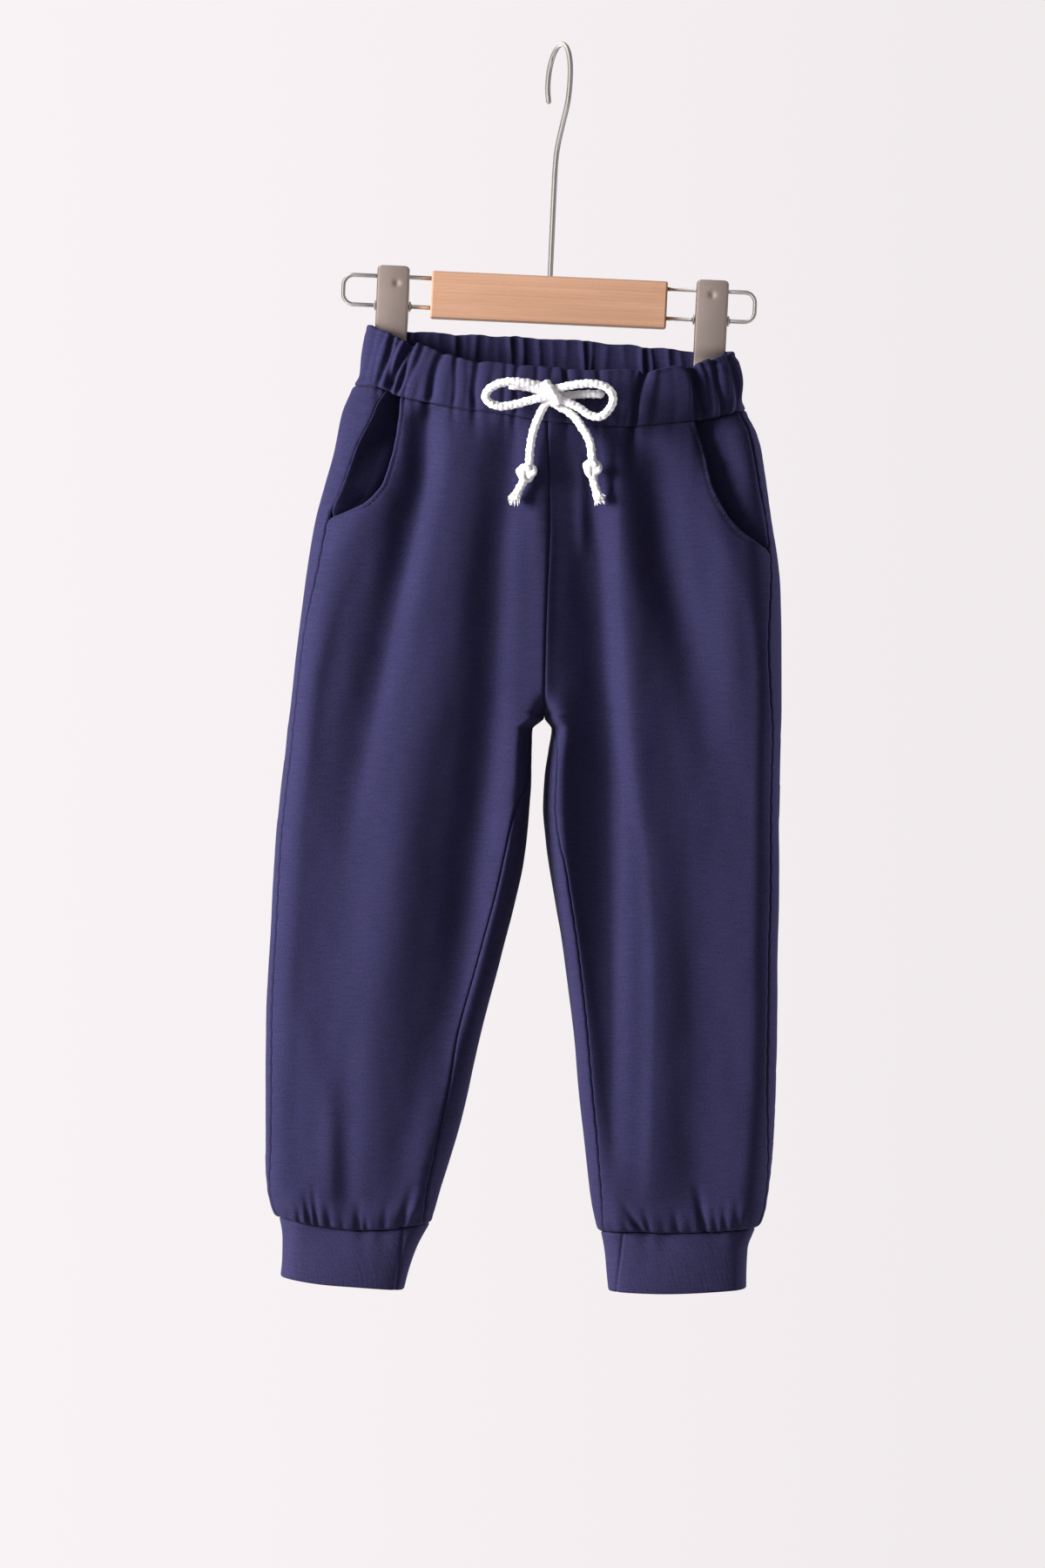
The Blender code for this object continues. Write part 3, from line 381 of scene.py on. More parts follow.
LEFT_CORD = (
    (27.6, -38.6, 218.4), (25.5, -41.2, 218.6), (19.0, -42.0, 218.6), (12.5, -42.3, 219.0),
    (3.2, -42.6, 219.6), (-2.2, -43.4, 219.2), (-4.2, -45.4, 217.8), (-2.6, -48.2, 216.6),
    (0.8, -49.2, 215.6), (11.2, -51.0, 213.6), (20.2, -51.4, 212.8), (28.0, -51.0, 214.0),
    (33.0, -50.4, 217.2), (34.8, -49.8, 222.2), (32.8, -49.0, 227.8), (27.2, -48.2, 232.8),
    (20.0, -48.0, 231.6), (14.0, -48.2, 227.4), (3.8, -48.6, 222.6), (-1.6, -47.6, 221.2),
    (-2.8, -45.4, 223.0), (1.8, -43.4, 226.2), (7.0, -42.9, 228.9), (12.0, -43.2, 233.4),
    (15.6, -43.8, 238.8), (18.6, -44.4, 243.4), (21.0, -45.2, 249.4), (22.0, -45.8, 258.6),
    (22.2, -45.9, 264.4), (22.6, -45.8, 270.2), (24.4, -45.8, 277.2), (26.6, -45.6, 283.2),
)
BRAID_PITCH = 6.0  # along the cord, for one strand to come back to its side
BRAID_STRANDS = 3
BRAID_RELIEF, BRAID_SUNK = 0.66, 0.4  # how high the strands stand, and how deep their bed lies
CORD_SIDES = 26
CORD_STEP = 0.5
FLARE, FLARE_LENGTH = 1.0, 4.0  # how much thicker the frayed tip is, and over what length
TIP_ROUND = 0.5


def hanging(route):
    """A route with its drops turned into heights."""
    return np.array([(x, y, -drop) for x, y, drop in route])


def frames_along(path, closed=False):
    """Two directions across a path at each of its points, which turn with it and never spin."""
    ahead = np.gradient(path, axis=0)
    if closed:
        ahead[0] = ahead[-1] = path[1] - path[-2]
    ahead /= np.linalg.norm(ahead, axis=1)[:, None]
    side = np.zeros_like(path)
    side[0] = np.cross(ahead[0], (0.13, 1.0, 0.21))
    for i in range(len(path)):
        start = side[max(0, i - 1)]
        side[i] = start - ahead[i] * start.dot(ahead[i])
        side[i] /= np.linalg.norm(side[i])
    if closed:
        lag = math.atan2(np.cross(side[-1], side[0]).dot(ahead[0]), side[-1].dot(side[0]))
        turn = np.linspace(0, lag, len(path))[:, None]
        side = side * np.cos(turn) + np.cross(ahead, side) * np.sin(turn)
    return side, np.cross(ahead, side)


def tube_net(path, radius, sides, closed=False):
    """Points round a path. radius is a number, or radii[along][round]."""
    across, up = frames_along(path, closed)
    angle = np.linspace(0, 2 * math.pi, sides + 1)
    radius = np.broadcast_to(radius, (len(path), sides + 1))[..., None]
    spokes = across[:, None] * np.cos(angle)[None, :, None] + up[:, None] * np.sin(angle)[None, :, None]
    points = path[:, None] + spokes * radius
    points[:, -1] = points[:, 0]
    if closed:
        points[-1] = points[0]
    reach = lengths_along(path)
    uv = np.stack(np.broadcast_arrays(angle[None, :] * np.mean(radius), reach[:, None]), axis=-1)
    return points, uv


def braided(path, thickness, sides, closed=False):
    """The radii of a braided cord: bumps where the strands cross over."""
    reach = lengths_along(path)[:, None]
    pitch = BRAID_PITCH
    if closed:
        pitch = reach[-1, 0] / max(1, round(reach[-1, 0] / pitch))
    round_it = np.linspace(0, 1, sides + 1)[None, :] * BRAID_STRANDS
    over = np.cos(2 * math.pi * (round_it + reach / pitch))
    under = np.cos(2 * math.pi * (round_it - reach / pitch))
    strands = 0.5 * (over * under + 0.5 * np.maximum(over, under))
    return thickness / 2 - BRAID_SUNK + BRAID_RELIEF * strands


def free_cord(side, route):
    """One end of the drawcord, from its eyelet to its tip."""
    path = smooth_route(hanging(route), CORD_STEP)
    radii = braided(path, CORD, CORD_SIDES)
    reach = lengths_along(path)
    from_tip = (reach[-1] - reach) / FLARE_LENGTH
    radii = radii + (FLARE * np.exp(-from_tip**2) - TIP_ROUND * np.exp(-(from_tip * 4) ** 2))[:, None]
    points, uv = tube_net(path, radii, CORD_SIDES)
    nodes = [f"cord_{part}_{side}" for part in ("lead", "loop", "tail", "end")]
    name = f"drawcord_{side}"
    cord = add_piece(name, net(name, points, uv, caps=True), WHITE, "white_cord", *nodes)
    print(cord.name, "is", round(reach[-1]), "mm long")
    return cord, path


def cord_turns(name, path, thickness, node):
    """A closed turn of cord, for a knot."""
    points, uv = tube_net(path, braided(path, thickness, CORD_SIDES, closed=True), CORD_SIDES, closed=True)
    return add_piece(name, net(name, points, uv), WHITE, "white_cord", node)


# %% The bow's knot: one diagonal turn of cord round the strands
WRAP_CENTRE = np.array((-3.0, -46.9, -218.3))
WRAP_LEAN = math.radians(26)
WRAP_HALF, WRAP_DEPTH, WRAP_TWIST = 5.9, 4.6, 0.9
WRAP_SQUARE = 0.72  # under 1, the turn is squarer than an oval
WRAP_THICK = 1.14  # times the cord's own thickness, because its strands spread

turn = np.linspace(0, 2 * math.pi, 81)[:, None]
down_knot = np.array((math.sin(WRAP_LEAN), 0.0, -math.cos(WRAP_LEAN)))
out_of_knot = np.array((0.16, -1.0, 0.0))
tall, deep = (np.sign(wave) * np.abs(wave) ** WRAP_SQUARE for wave in (np.cos(turn), np.sin(turn)))
wrap_path = WRAP_CENTRE + down_knot * WRAP_HALF * tall + out_of_knot * WRAP_DEPTH * deep
wrap_path += np.array((1.0, 0.0, 0.0)) * WRAP_TWIST * np.sin(2 * turn)
bow_knot = cord_turns("bow_wrap", wrap_path, CORD * WRAP_THICK, "bow_knot")
print("bow's knot:", round(lengths_along(wrap_path)[-1]), "mm of cord in its turn")

# %% The end knots and the frayed tips
KNOT_RING, KNOT_WEAVE, KNOT_THICK = 3.2, 1.55, 0.86
FIBRES, FIBRE_SPREAD, FIBRE_LEAN = 70, 2.5, 0.55
FIBRE_LONG, FIBRE_WIDE, FIBRE_POINT = (1.4, 3.2), (0.3, 0.6), 0.06


def end_knot(side, centre, turned, size):
    """An overhand knot: the cord's path round itself, drawn as a small three-lobed turn."""
    t = np.linspace(0, 2 * math.pi, 120)
    ring = KNOT_RING + KNOT_WEAVE * np.cos(3 * t)
    path = np.column_stack([ring * np.cos(2 * t), KNOT_WEAVE * np.sin(3 * t) * 1.05, ring * np.sin(2 * t)])
    place = Matrix.Rotation(math.radians(turned), 3, "Y") @ Matrix.Diagonal(size)
    path = np.array([tuple(place @ Vector(p)) for p in path]) + hanging([centre])[0]
    return cord_turns(f"overhand_{side}", path, CORD * KNOT_THICK, f"end_knot_{side}")


def frayed_tip(side, path):
    """Loose fibres at a cord's cut end, each a thin cone that leans out from the end."""
    draw = random.Random(7 if side == "right" else 11)
    tip, ahead = path[-1], path[-1] - path[-4]
    ahead = Vector(ahead).normalized()
    mesh = bmesh.new()
    for _ in range(FIBRES):
        spread = Vector((draw.uniform(-1, 1), draw.uniform(-1, 1), draw.uniform(-1, 1)))
        root = Vector(tip) + spread * FIBRE_SPREAD - ahead
        aim = (ahead + spread * FIBRE_LEAN).normalized()
        length, width = draw.uniform(*FIBRE_LONG), draw.uniform(*FIBRE_WIDE)
        cone = bmesh.ops.create_cone(mesh, segments=5, radius1=width, radius2=FIBRE_POINT, depth=length)
        stand = Vector((0, 0, 1)).rotation_difference(aim).to_matrix().to_4x4()
        place = Matrix.Scale(MM, 4) @ Matrix.Translation(root + aim * length / 2) @ stand
        bmesh.ops.transform(mesh, matrix=place, verts=cone["verts"])
    data = finished_mesh(f"frayed_tip_{side}", mesh)
    return add_piece(data.name, data, WHITE, "white_cord")


ends = {
    "right": (RIGHT_CORD, (-17.9, -45.9, 266.9), -30, (1.0, 1.0, 0.88)),
    "left": (LEFT_CORD, (22.3, -45.9, 264.4), -20, (0.86, 1.0, 0.92)),
}
for side, (route, centre, turned, size) in ends.items():
    cord, path = free_cord(side, route)
    knot = end_knot(side, centre, turned, size)
    tip = frayed_tip(side, path)
    on_it = [knot, tip] + ([bow_knot] if side == "right" else [])

# %% [markdown]
# ## The shape of the body
# Seen from the front, the body is given by where its outer and inner edges are at each drop. Seen from
# above, each row is a flat oval: the front and the back are nearly flat and round over to the sides.
# The side seams and inseams have rolled forward, as they do on a pair that hangs. Much the same short
# tables give the solid, so the two agree within a few millimetres nearly everywhere.

# %% The body's outline and depth
WAIST_DROP = 225.0  # nominal drop of the waistband seam
ANKLE_DROP = 729.0  # nominal drop of the cuff seam
SAG_FADES_AT = 330.0
ANKLE_FADES_FROM = 680.0
CROTCH_DEPTH = -8.0
ROUND_POINTS, FLAT_POINTS = 25, 90  # on each rounded corner of a row, and on the flat between

# At each drop: x of the outer and the inner edge, and how far forward the side seam and inseam lie.
HALF = ("drop", "outer", "inner", "side", "inseam")
RIGHT_HALF = (
    (205, -122.0, -5.3, 19.0, 0.0), (212, -125.5, -5.3, 20.0, 0.0), (227, -131.8, -5.3, 19.6, 0.0),
    (251, -136.5, -5.0, 13.0, 0.0), (273, -142.7, -4.4, 11.4, 0.0), (295, -148.5, -4.0, 8.0, 0.0),
    (323, -153.0, -4.8, 7.4, 0.0), (366, -159.0, -6.4, 4.2, 0.0), (402, -163.2, -7.1, 4.0, 0.0),
    (416, -164.7, -7.1, 4.0, 0.0), (423, -165.6, -14.2, 4.0, 0.4), (436, -166.8, -14.6, 4.0, 1.0),
    (456, -169.2, -14.8, 4.0, 2.6), (470, -170.8, -15.8, 4.0, 8.0), (490, -172.8, -17.6, 4.0, 11.5),
    (511, -174.3, -20.8, 4.0, 12.8), (565, -177.2, -34.0, 4.0, 13.6), (608, -178.9, -45.5, 4.0, 14.0),
    (645, -179.4, -53.7, 4.0, 12.2), (668, -179.6, -59.0, 3.8, 11.8), (690, -179.6, -65.6, 3.4, 9.6),
    (707, -178.4, -71.0, 2.0, 8.0), (719, -175.4, -74.4, 2.0, 6.0), (729, -170.6, -77.4, 2.0, 4.5),
)
LEFT_HALF = (
    (205, 113.0, -5.3, 6.0, 0.0), (226, 117.6, -5.3, 4.0, 0.0), (240, 124.2, -5.2, 5.0, 0.0),
    (251, 127.2, -5.0, 5.6, 0.0), (273, 130.4, -4.4, 5.4, 0.0), (295, 133.4, -4.0, 4.2, 0.0),
    (317, 136.7, -4.6, 5.2, 0.0), (339, 138.8, -5.6, 7.2, 0.0), (372, 139.6, -6.6, 9.2, 0.0),
    (405, 139.6, -7.1, 7.8, 0.0), (416, 139.5, -7.1, 6.8, 0.0), (423, 139.3, -2.6, 6.2, 1.6),
    (436, 138.9, -4.6, 5.6, 5.2), (452, 138.5, -7.0, 5.6, 7.0), (471, 138.2, -8.0, 5.8, 7.2),
    (490, 138.0, -6.3, 6.0, 7.6), (511, 137.8, -3.4, 6.2, 9.8), (559, 137.3, 4.4, 6.4, 9.0),
    (608, 136.9, 11.0, 6.6, 8.2), (645, 136.1, 14.2, 6.0, 8.0), (668, 135.0, 16.4, 4.2, 8.0),
    (690, 133.6, 19.2, 2.6, 7.0), (712, 131.0, 22.4, 1.8, 5.6), (724, 128.6, 25.0, 1.8, 3.6),
    (733, 123.6, 27.9, 1.8, 2.6),
)
# At each drop: y of the front, the back and the outer edge, how wide the corners are, and how far the
# inner edge has turned in to close a leg.
DEPTH = ("drop", "front", "back", "edge", "front_round", "back_round", "leg_round", "turn")
DEPTHS = (
    (205, -36.0, 1.6, -7.0, 104, 7, 6, 0.0), (225, -36.5, 1.6, -7.0, 104, 7, 6, 0.0),
    (240, -38.5, 5.0, -7.5, 90, 16, 8, 0.0), (258, -40.0, 9.5, -8.0, 74, 24, 10, 0.0),
    (276, -41.5, 13.5, -8.5, 60, 30, 10, 0.0), (296, -42.0, 16.5, -8.5, 46, 33, 10, 0.0),
    (320, -42.0, 19.0, -8.5, 33, 34, 10, 0.0), (345, -41.5, 20.5, -8.5, 25, 34, 10, 0.0),
    (372, -40.5, 20.5, -8.5, 20, 33, 10, 0.0), (396, -39.5, 20.0, -8.5, 18, 32, 10, 0.0),
    (404, -39.0, 20.0, -8.5, 18, 32, 10, 0.12), (411, -38.6, 19.6, -8.5, 18, 32, 10, 0.42),
    (416, -38.2, 19.4, -8.5, 18, 31, 10, 1.0), (440, -37.2, 18.6, -8.5, 18, 31, 11, 1.0),
    (490, -35.0, 16.6, -8.5, 18, 30, 13, 1.0), (565, -32.5, 14.0, -8.5, 18, 30, 14, 1.0),
    (640, -30.5, 12.5, -8.5, 18, 29, 15, 1.0), (700, -29.0, 12.0, -8.0, 20, 28, 17, 1.0),
    (720, -27.0, 10.0, -8.0, 22, 27, 18, 1.0), (733, -24.0, 8.0, -8.0, 24, 26, 20, 1.0),
)
# The pocket's mouths, and the band's and the cuffs' seams, as they run across the body.
MOUTH = ("drop", "x")
RIGHT_MOUTH = (
    (218.5, -95.6), (235, -97.2), (251.5, -99.9), (263, -103.0), (272, -106.0), (279, -111.0),
    (285, -118.0), (290, -129.0), (293.7, -140.1),
)
LEFT_MOUTH = (
    (234.0, 85.3), (254, 91.5), (273, 95.6), (287, 102.0), (298.4, 109.8), (308, 121.5), (314.3, 132.6),
)
EDGE = ("x", "drop")
FRONT_SEAM = (
    (-124, 210.7), (-110, 212.6), (-101, 217.2), (-95, 219.0), (-78, 222.8), (-56, 227.2),
    (-37, 229.4), (-2, 235.0), (40, 238.0), (66, 236.2), (84, 234.4), (101, 231.0), (119, 225.7),
)
BACK_SEAM = ((-124, 210.7), (-90, 213.0), (0, 219.0), (60, 223.5), (119, 225.7))
RIGHT_CUFF_TOP = (
    (-170.6, 724.2), (-157, 727.0), (-138, 730.0), (-122, 731.8), (-105, 731.3), (-89, 729.2),
    (-77.4, 727.9),
)
LEFT_CUFF_TOP = ((27.9, 733.2), (47, 732.5), (67, 733.4), (89, 733.0), (111, 731.8), (123.6, 730.9))

FRONT_LINE, BACK_LINE = columns(EDGE, FRONT_SEAM), columns(EDGE, BACK_SEAM)
BODY_DEPTH = columns(DEPTH, DEPTHS)


# %% One half of the body, row by row
class Row:
    """The body's line at one nominal drop, from the middle or inseam over the front, side and back."""

    def __init__(self, points, lift, inward, closed, side, inner, inseam, rim):
        self.points, self.lift, self.closed = points, lift, closed
        tangent = np.gradient(points, axis=0)
        if closed:
            tangent[0] = tangent[-1] = points[1] - points[-2]
        out = np.column_stack([-tangent[:, 1], tangent[:, 0]]) * inward
        self.out = out / np.linalg.norm(out, axis=1)[:, None]
        self.length = lengths_along(points)
        early = slice(0, rim // 2)
        self.start = np.interp(inseam, np.abs(points[early, 0] - inner), self.length[early])
        to_rim = np.abs(points[: rim + 1, 0] - points[rim, 0])[::-1]
        self.seam = np.interp(side, to_rim, self.length[: rim + 1][::-1]) - self.start
        self.total = self.length[-1]

    def at(self, places):
        """x, y, z, lift and the outward direction at these lengths from the row's first seam."""
        here = places + self.start
        if self.closed:
            here = np.where(here > self.total, here - self.total, here)
        table = np.column_stack([self.points, self.lift, self.out])
        found = np.column_stack([np.interp(here, self.length, column) for column in table.T])
        found[:, 4:] /= np.linalg.norm(found[:, 4:], axis=1)[:, None]
        return found


class Half:
    """A torso half above the crotch and a whole leg below it."""

    def __init__(self, side, rows, mouth, cuff_top, inward):
        self.side = side
        self.rows = columns(HALF, rows)
        self.mouth = columns(MOUTH, mouth)
        self.cuff_top = columns(EDGE, cuff_top)
        self.inward = inward  # +1 where x grows from the side towards the middle
        self.made = {}

    def sagged(self, x, face, drop):
        """The real drop of a point on the row that is nominally at this drop."""
        seam = FRONT_LINE if face < 0 else BACK_LINE
        top = max(0.0, (SAG_FADES_AT - drop) / (SAG_FADES_AT - WAIST_DROP))
        foot = max(0.0, (drop - ANKLE_FADES_FROM) / (ANKLE_DROP - ANKLE_FADES_FROM))
        return (
            drop
            + top * (along(seam, "x", "drop", x) - WAIST_DROP)
            + foot * (along(self.cuff_top, "x", "drop", x) - ANKLE_DROP)
        )

    def row(self, drop):
        """The row at a nominal drop, which is worked out once."""
        if drop in self.made:
            return self.made[drop]
        side_drop = self.sagged(along(self.rows, "drop", "outer", drop), FRONT, drop)
        outer, side = (along(self.rows, "drop", name, side_drop) for name in ("outer", "side"))
        inner, inseam = (along(self.rows, "drop", name, drop) for name in ("inner", "inseam"))
        front, back, edge, front_round, back_round, leg_round, turn = (
            along(BODY_DEPTH, "drop", name, drop) for name in DEPTH[1:]
        )
        quarter = np.linspace(0, math.pi / 2, ROUND_POINTS)
        faces = []
        for face, depth, side_round in ((FRONT, front, front_round), (BACK, back, back_round)):
            middle = depth + (CROTCH_DEPTH - depth) * turn
            inner_x = inner - self.inward * leg_round * (1 - np.cos(quarter))
            inner_y = depth + (middle - depth) * (1 - np.sin(quarter))
            outer_x = outer + self.inward * side_round * (1 - np.cos(quarter))
            outer_y = edge + (depth - edge) * np.sin(quarter)
            flat_x = np.linspace(inner_x[-1], outer_x[-1], FLAT_POINTS + 2)[1:-1]
            x = np.concatenate([inner_x, flat_x, outer_x[::-1]])
            y = np.concatenate([inner_y, np.full(FLAT_POINTS, depth), outer_y[::-1]])
            free = np.concatenate([
                1 - turn * (1 - np.sin(quarter)), np.ones(FLAT_POINTS), np.sin(quarter[::-1]),
            ])
            faces.append(np.column_stack([x, y, -self.sagged(x, face, drop), face * free]))
        line = np.vstack([faces[0], faces[1][::-1][1:]])
        rim = len(faces[0]) - 1
        made = Row(line[:, :3], line[:, 3], self.inward, turn > 0.999, side, inner, inseam, rim)
        self.made[drop] = made
        return made

    def mouth_place(self, row):
        """The length along a row where the pocket's mouth crosses it."""
        front = row.length <= row.seam
        x, z = row.points[front, 0], row.points[front, 2]
        past = (x - along(self.mouth, "drop", "x", -z)) * self.inward
        return np.interp(0.0, past[::-1], row.length[front][::-1])

    def pocket_foot(self):
        """The nominal drop of the row that runs through the foot of the pocket's mouth."""
        foot, foot_x = self.mouth["drop"][-1], self.mouth["x"][-1]
        level = foot
        for _ in range(12):
            level += foot - self.sagged(foot_x, FRONT, level)
        return level


HALVES = {
    "right": Half("right", RIGHT_HALF, RIGHT_MOUTH, RIGHT_CUFF_TOP, 1),
    "left": Half("left", LEFT_HALF, LEFT_MOUTH, LEFT_CUFF_TOP, -1),
}
print("pocket feet at drops", [round(half.pocket_foot(), 1) for half in HALVES.values()])

# %% [markdown]
# ## The folds
# Cloth that hangs from a gathered waist falls in a few large soft folds that start under the band and
# fan out down the legs, and in many small creases that die out within a few centimetres of a seam. Each
# large fold here is listed: its path, its height at a few points and how fast it dies away to
# each side. A ridge has a positive height and a trough a negative one. Gathers at the waist and the
# cuffs have their own tables.

# %% Large folds: face, reach to the left, reach to the right, then x, drop and height along the fold
FOLD = ("x", "drop", "height")
FOLDS = (
    (FRONT, 8, 10, ((-106, 222, -2.0), (-111, 237, -4.0), (-119, 252, -4.6), (-126, 269, -3.8),
                    (-131, 281, -2.0), (-137, 291, 0))),
    (FRONT, 17, 11, ((-75, 224, -3.0), (-80, 234, -9.4), (-81, 262, -11.5), (-88, 300, -8.6),
                     (-104, 375, -5.2), (-117, 435, -3.4), (-130, 505, 0))),
    (FRONT, 30, 32, ((-54, 234, 0), (-56, 273, 2.0), (-66, 321, 3.4), (-74, 375, 4.4), (-86, 435, 7.0),
                     (-97, 510, 8.4), (-107, 591, 7.6), (-114, 672, 5.0), (-118, 722, 0))),
    (FRONT, 14, 14, ((-112, 262, 0), (-126, 298, 1.8), (-140, 321, 2.4), (-153, 375, 2.8),
                     (-157, 430, 1.8), (-160, 480, 0))),
    (FRONT, 18, 13, ((-27, 232, 0), (-28, 250, -4.6), (-30, 273, -5.2), (-36, 321, -5.4), (-38, 375, -5.4),
                     (-42, 435, -5.8), (-51, 510, -5.6), (-60, 591, -3.2), (-68, 672, -1.6), (-74, 718, 0))),
    (FRONT, 10, 8, ((-13, 238, 0), (-10, 273, 1.8), (-8, 340, 2.0), (-8, 400, 1.2), (-10, 428, 0))),
    (FRONT, 15, 18, ((-18, 398, 0), (-20, 418, 2.2), (-22, 440, 3.6), (-26, 480, 3.8), (-32, 520, 2.8),
                     (-44, 580, 2.0), (-60, 620, 2.4), (-76, 672, 3.2), (-84, 712, 2.0), (-88, 726, 0))),
    (FRONT, 25, 12, ((13, 236, 0), (18, 266, -6.2), (25, 321, -8.2), (28, 375, -9.4), (32, 435, -9.8),
                     (33, 510, -8.8), (34, 591, -7.0), (33, 672, -4.4), (31, 722, 0))),
    (FRONT, 12, 10, ((3, 396, 0), (3, 418, 1.6), (3, 440, 3.2), (3, 500, 4.0), (9, 560, 3.6),
                     (17, 620, 3.0), (25, 690, 2.0), (28, 722, 0))),
    (FRONT, 9, 22, ((37, 240, 0), (40, 268, 3.4), (39.5, 321, 3.4), (43, 375, 3.6), (47, 435, 3.6),
                    (58, 510, 3.2), (61, 591, 3.2), (59, 672, 3.2), (58, 724, 0))),
    (FRONT, 18, 18, ((50, 234, 0), (59, 262, -6.2), (67, 321, -7.4), (81, 375, -4.8), (92, 435, -1.6),
                     (98, 475, 0))),
    (FRONT, 14, 13, ((90, 246, 0), (95, 273, 2.4), (104, 321, 2.8), (108, 375, 2.2), (112, 440, 0))),
    (FRONT, 5, 5, ((14, 250, 0), (15.5, 272, 1.7), (16, 300, 1.5), (17, 320, 0))),
    (FRONT, 24, 12, ((112, 225.5, 0), (116, 232, 8.0), (121, 242, 15.0), (126, 262, 16.0),
                     (129, 300, 11.5), (129, 340, 5.4), (127.5, 420, 2.2), (127, 560, 1.8),
                     (126, 650, 1.8), (121, 712, 1.4), (117, 728, 0))),
    (FRONT, 10, 9, ((-140, 628, 0), (-139, 662, 1.8), (-138, 700, 2.0), (-138, 726, 0))),
    (FRONT, 11, 10, ((-126, 590, 0), (-127, 660, -1.3), (-129, 708, -1.6), (-130, 727, 0))),
    (FRONT, 12, 12, ((-163, 560, 0), (-164, 640, -1.8), (-163, 700, -2.0), (-160, 724, 0))),
    (FRONT, 18, 20, ((84, 470, 0), (86, 560, -1.2), (88, 650, -1.4), (88, 710, -1.2), (88, 727, 0))),
    (BACK, 18, 16, ((-84, 218, 0), (-92, 270, -4.2), (-102, 360, -4.6), (-112, 440, 0))),
    (BACK, 20, 26, ((-50, 222, 0), (-60, 280, 3.0), (-74, 400, 4.0), (-88, 540, 3.0), (-92, 640, 0))),
    (BACK, 15, 18, ((-24, 222, 0), (-28, 270, -4.0), (-34, 380, -4.4), (-38, 480, 0))),
    (BACK, 22, 14, ((20, 224, 0), (24, 270, -4.8), (32, 400, -5.6), (38, 520, -4.0), (42, 640, 0))),
    (BACK, 13, 20, ((54, 226, 0), (60, 280, 3.0), (68, 380, 3.4), (78, 480, 0))),
    (BACK, 15, 15, ((84, 226, 0), (90, 280, -3.8), (98, 360, -3.4), (102, 440, 0))),
    (BACK, 14, 16, ((-118, 520, 0), (-124, 600, 2.6), (-128, 690, 2.6), (-130, 726, 0))),
    (BACK, 14, 12, ((-97, 540, 0), (-98, 620, -2.8), (-99, 700, -2.8), (-99, 726, 0))),
    (BACK, 14, 12, ((60, 540, 0), (64, 640, 2.8), (66, 700, 2.4), (66, 726, 0))),
    (BACK, 13, 16, ((90, 540, 0), (91, 630, -3.0), (92, 700, -2.6), (92, 726, 0))),
)
FOLD_LINES = [(face, left, right, columns(FOLD, line)) for face, left, right, line in FOLDS]
SOFTNESS = 1.7  # how fast a fold dies away over its reach

# Creases that the elastic gathers into the band: x on the band's top edge, x at its seam, half width,
# depth on the band, and how far down the body they run.
CREASE = ("top", "seam", "half", "depth", "run")
FRONT_CREASES = (
    (-110, -118.5, 2.4, 1.2, 9), (-105, -114, 2.0, 1.0, 7), (-100, -109.5, 2.2, 4.0, 12),
    (-95.5, -106, 2.0, 3.4, 14), (-91, -102.6, 2.4, 6.4, 22), (-87, -98.5, 2.2, 5.2, 24),
    (-82, -93, 2.0, 2.2, 12), (-76, -87, 2.6, 0.8, 8), (-69.9, -78.6, 3.3, 3.8, 14),
    (-60.5, -63, 2.2, 1.8, 8), (-54, -55.5, 2.4, 0.4, 7), (-48.6, -49.8, 3.0, 2.6, 12),
    (-38, -41, 3.0, 0.5, 9), (-31, -31.5, 2.4, 1.0, 14), (-23, -25.6, 2.4, 2.0, 12), (-12, -13, 2.4, 0.8, 8),
    (-3, -5, 2.4, 1.0, 7), (6, 6.5, 2.4, 2.0, 11), (17, 17, 2.6, 0.8, 7), (27, 26, 2.4, 1.2, 9),
    (34, 32, 2.2, 0.4, 7), (41, 38, 2.6, 0.6, 9), (49, 43, 2.4, 1.0, 10), (54.5, 47.6, 3.0, 5.0, 18),
    (63, 60.5, 2.6, 0.4, 8), (72, 72, 3.0, 0.6, 9), (80.6, 87.6, 2.2, 3.2, 14), (84.6, 91.6, 2.6, 5.6, 22),
    (90, 96, 2.2, 2.4, 10), (96.5, 101.5, 2.2, 3.6, 11), (101, 106, 2.2, 1.4, 8), (105, 110, 2.0, 2.4, 9),
)
BACK_CREASES = (
    (-108, -116, 2.4, 1.6, 9), (-101, -107, 2.2, 1.0, 8), (-88, -92, 2.8, 2.6, 14), (-79, -84, 2.4, 1.0, 9),
    (-72, -73, 2.6, 1.7, 13), (-62, -65, 2.4, 3.2, 9), (-56, -57, 2.0, 0.8, 7), (-50, -50, 2.8, 3.0, 15),
    (-41, -43, 2.4, 0.8, 8), (-35, -35.5, 2.0, 1.0, 8), (-28, -28.5, 2.4, 3.0, 11),
    (-20.7, -21, 2.8, 3.4, 12), (-10.5, -11, 2.6, 2.4, 14), (-2, -2.5, 2.4, 0.8, 9), (6, 5, 2.6, 1.2, 10),
    (17.5, 17, 2.4, 3.2, 14), (21.8, 22.5, 2.0, 2.4, 9), (31, 31, 2.8, 1.0, 11), (42, 43, 2.6, 1.3, 10),
    (54, 55, 2.4, 3.0, 14), (58.8, 60.5, 2.0, 2.4, 9), (70.4, 72, 2.6, 2.6, 10), (77, 79, 2.6, 1.2, 9),
    (87, 91, 2.6, 2.4, 12), (96, 101, 2.4, 1.6, 11), (105, 111, 2.2, 1.2, 8),
)
CREASES = {FRONT: columns(CREASE, FRONT_CREASES), BACK: columns(CREASE, BACK_CREASES)}

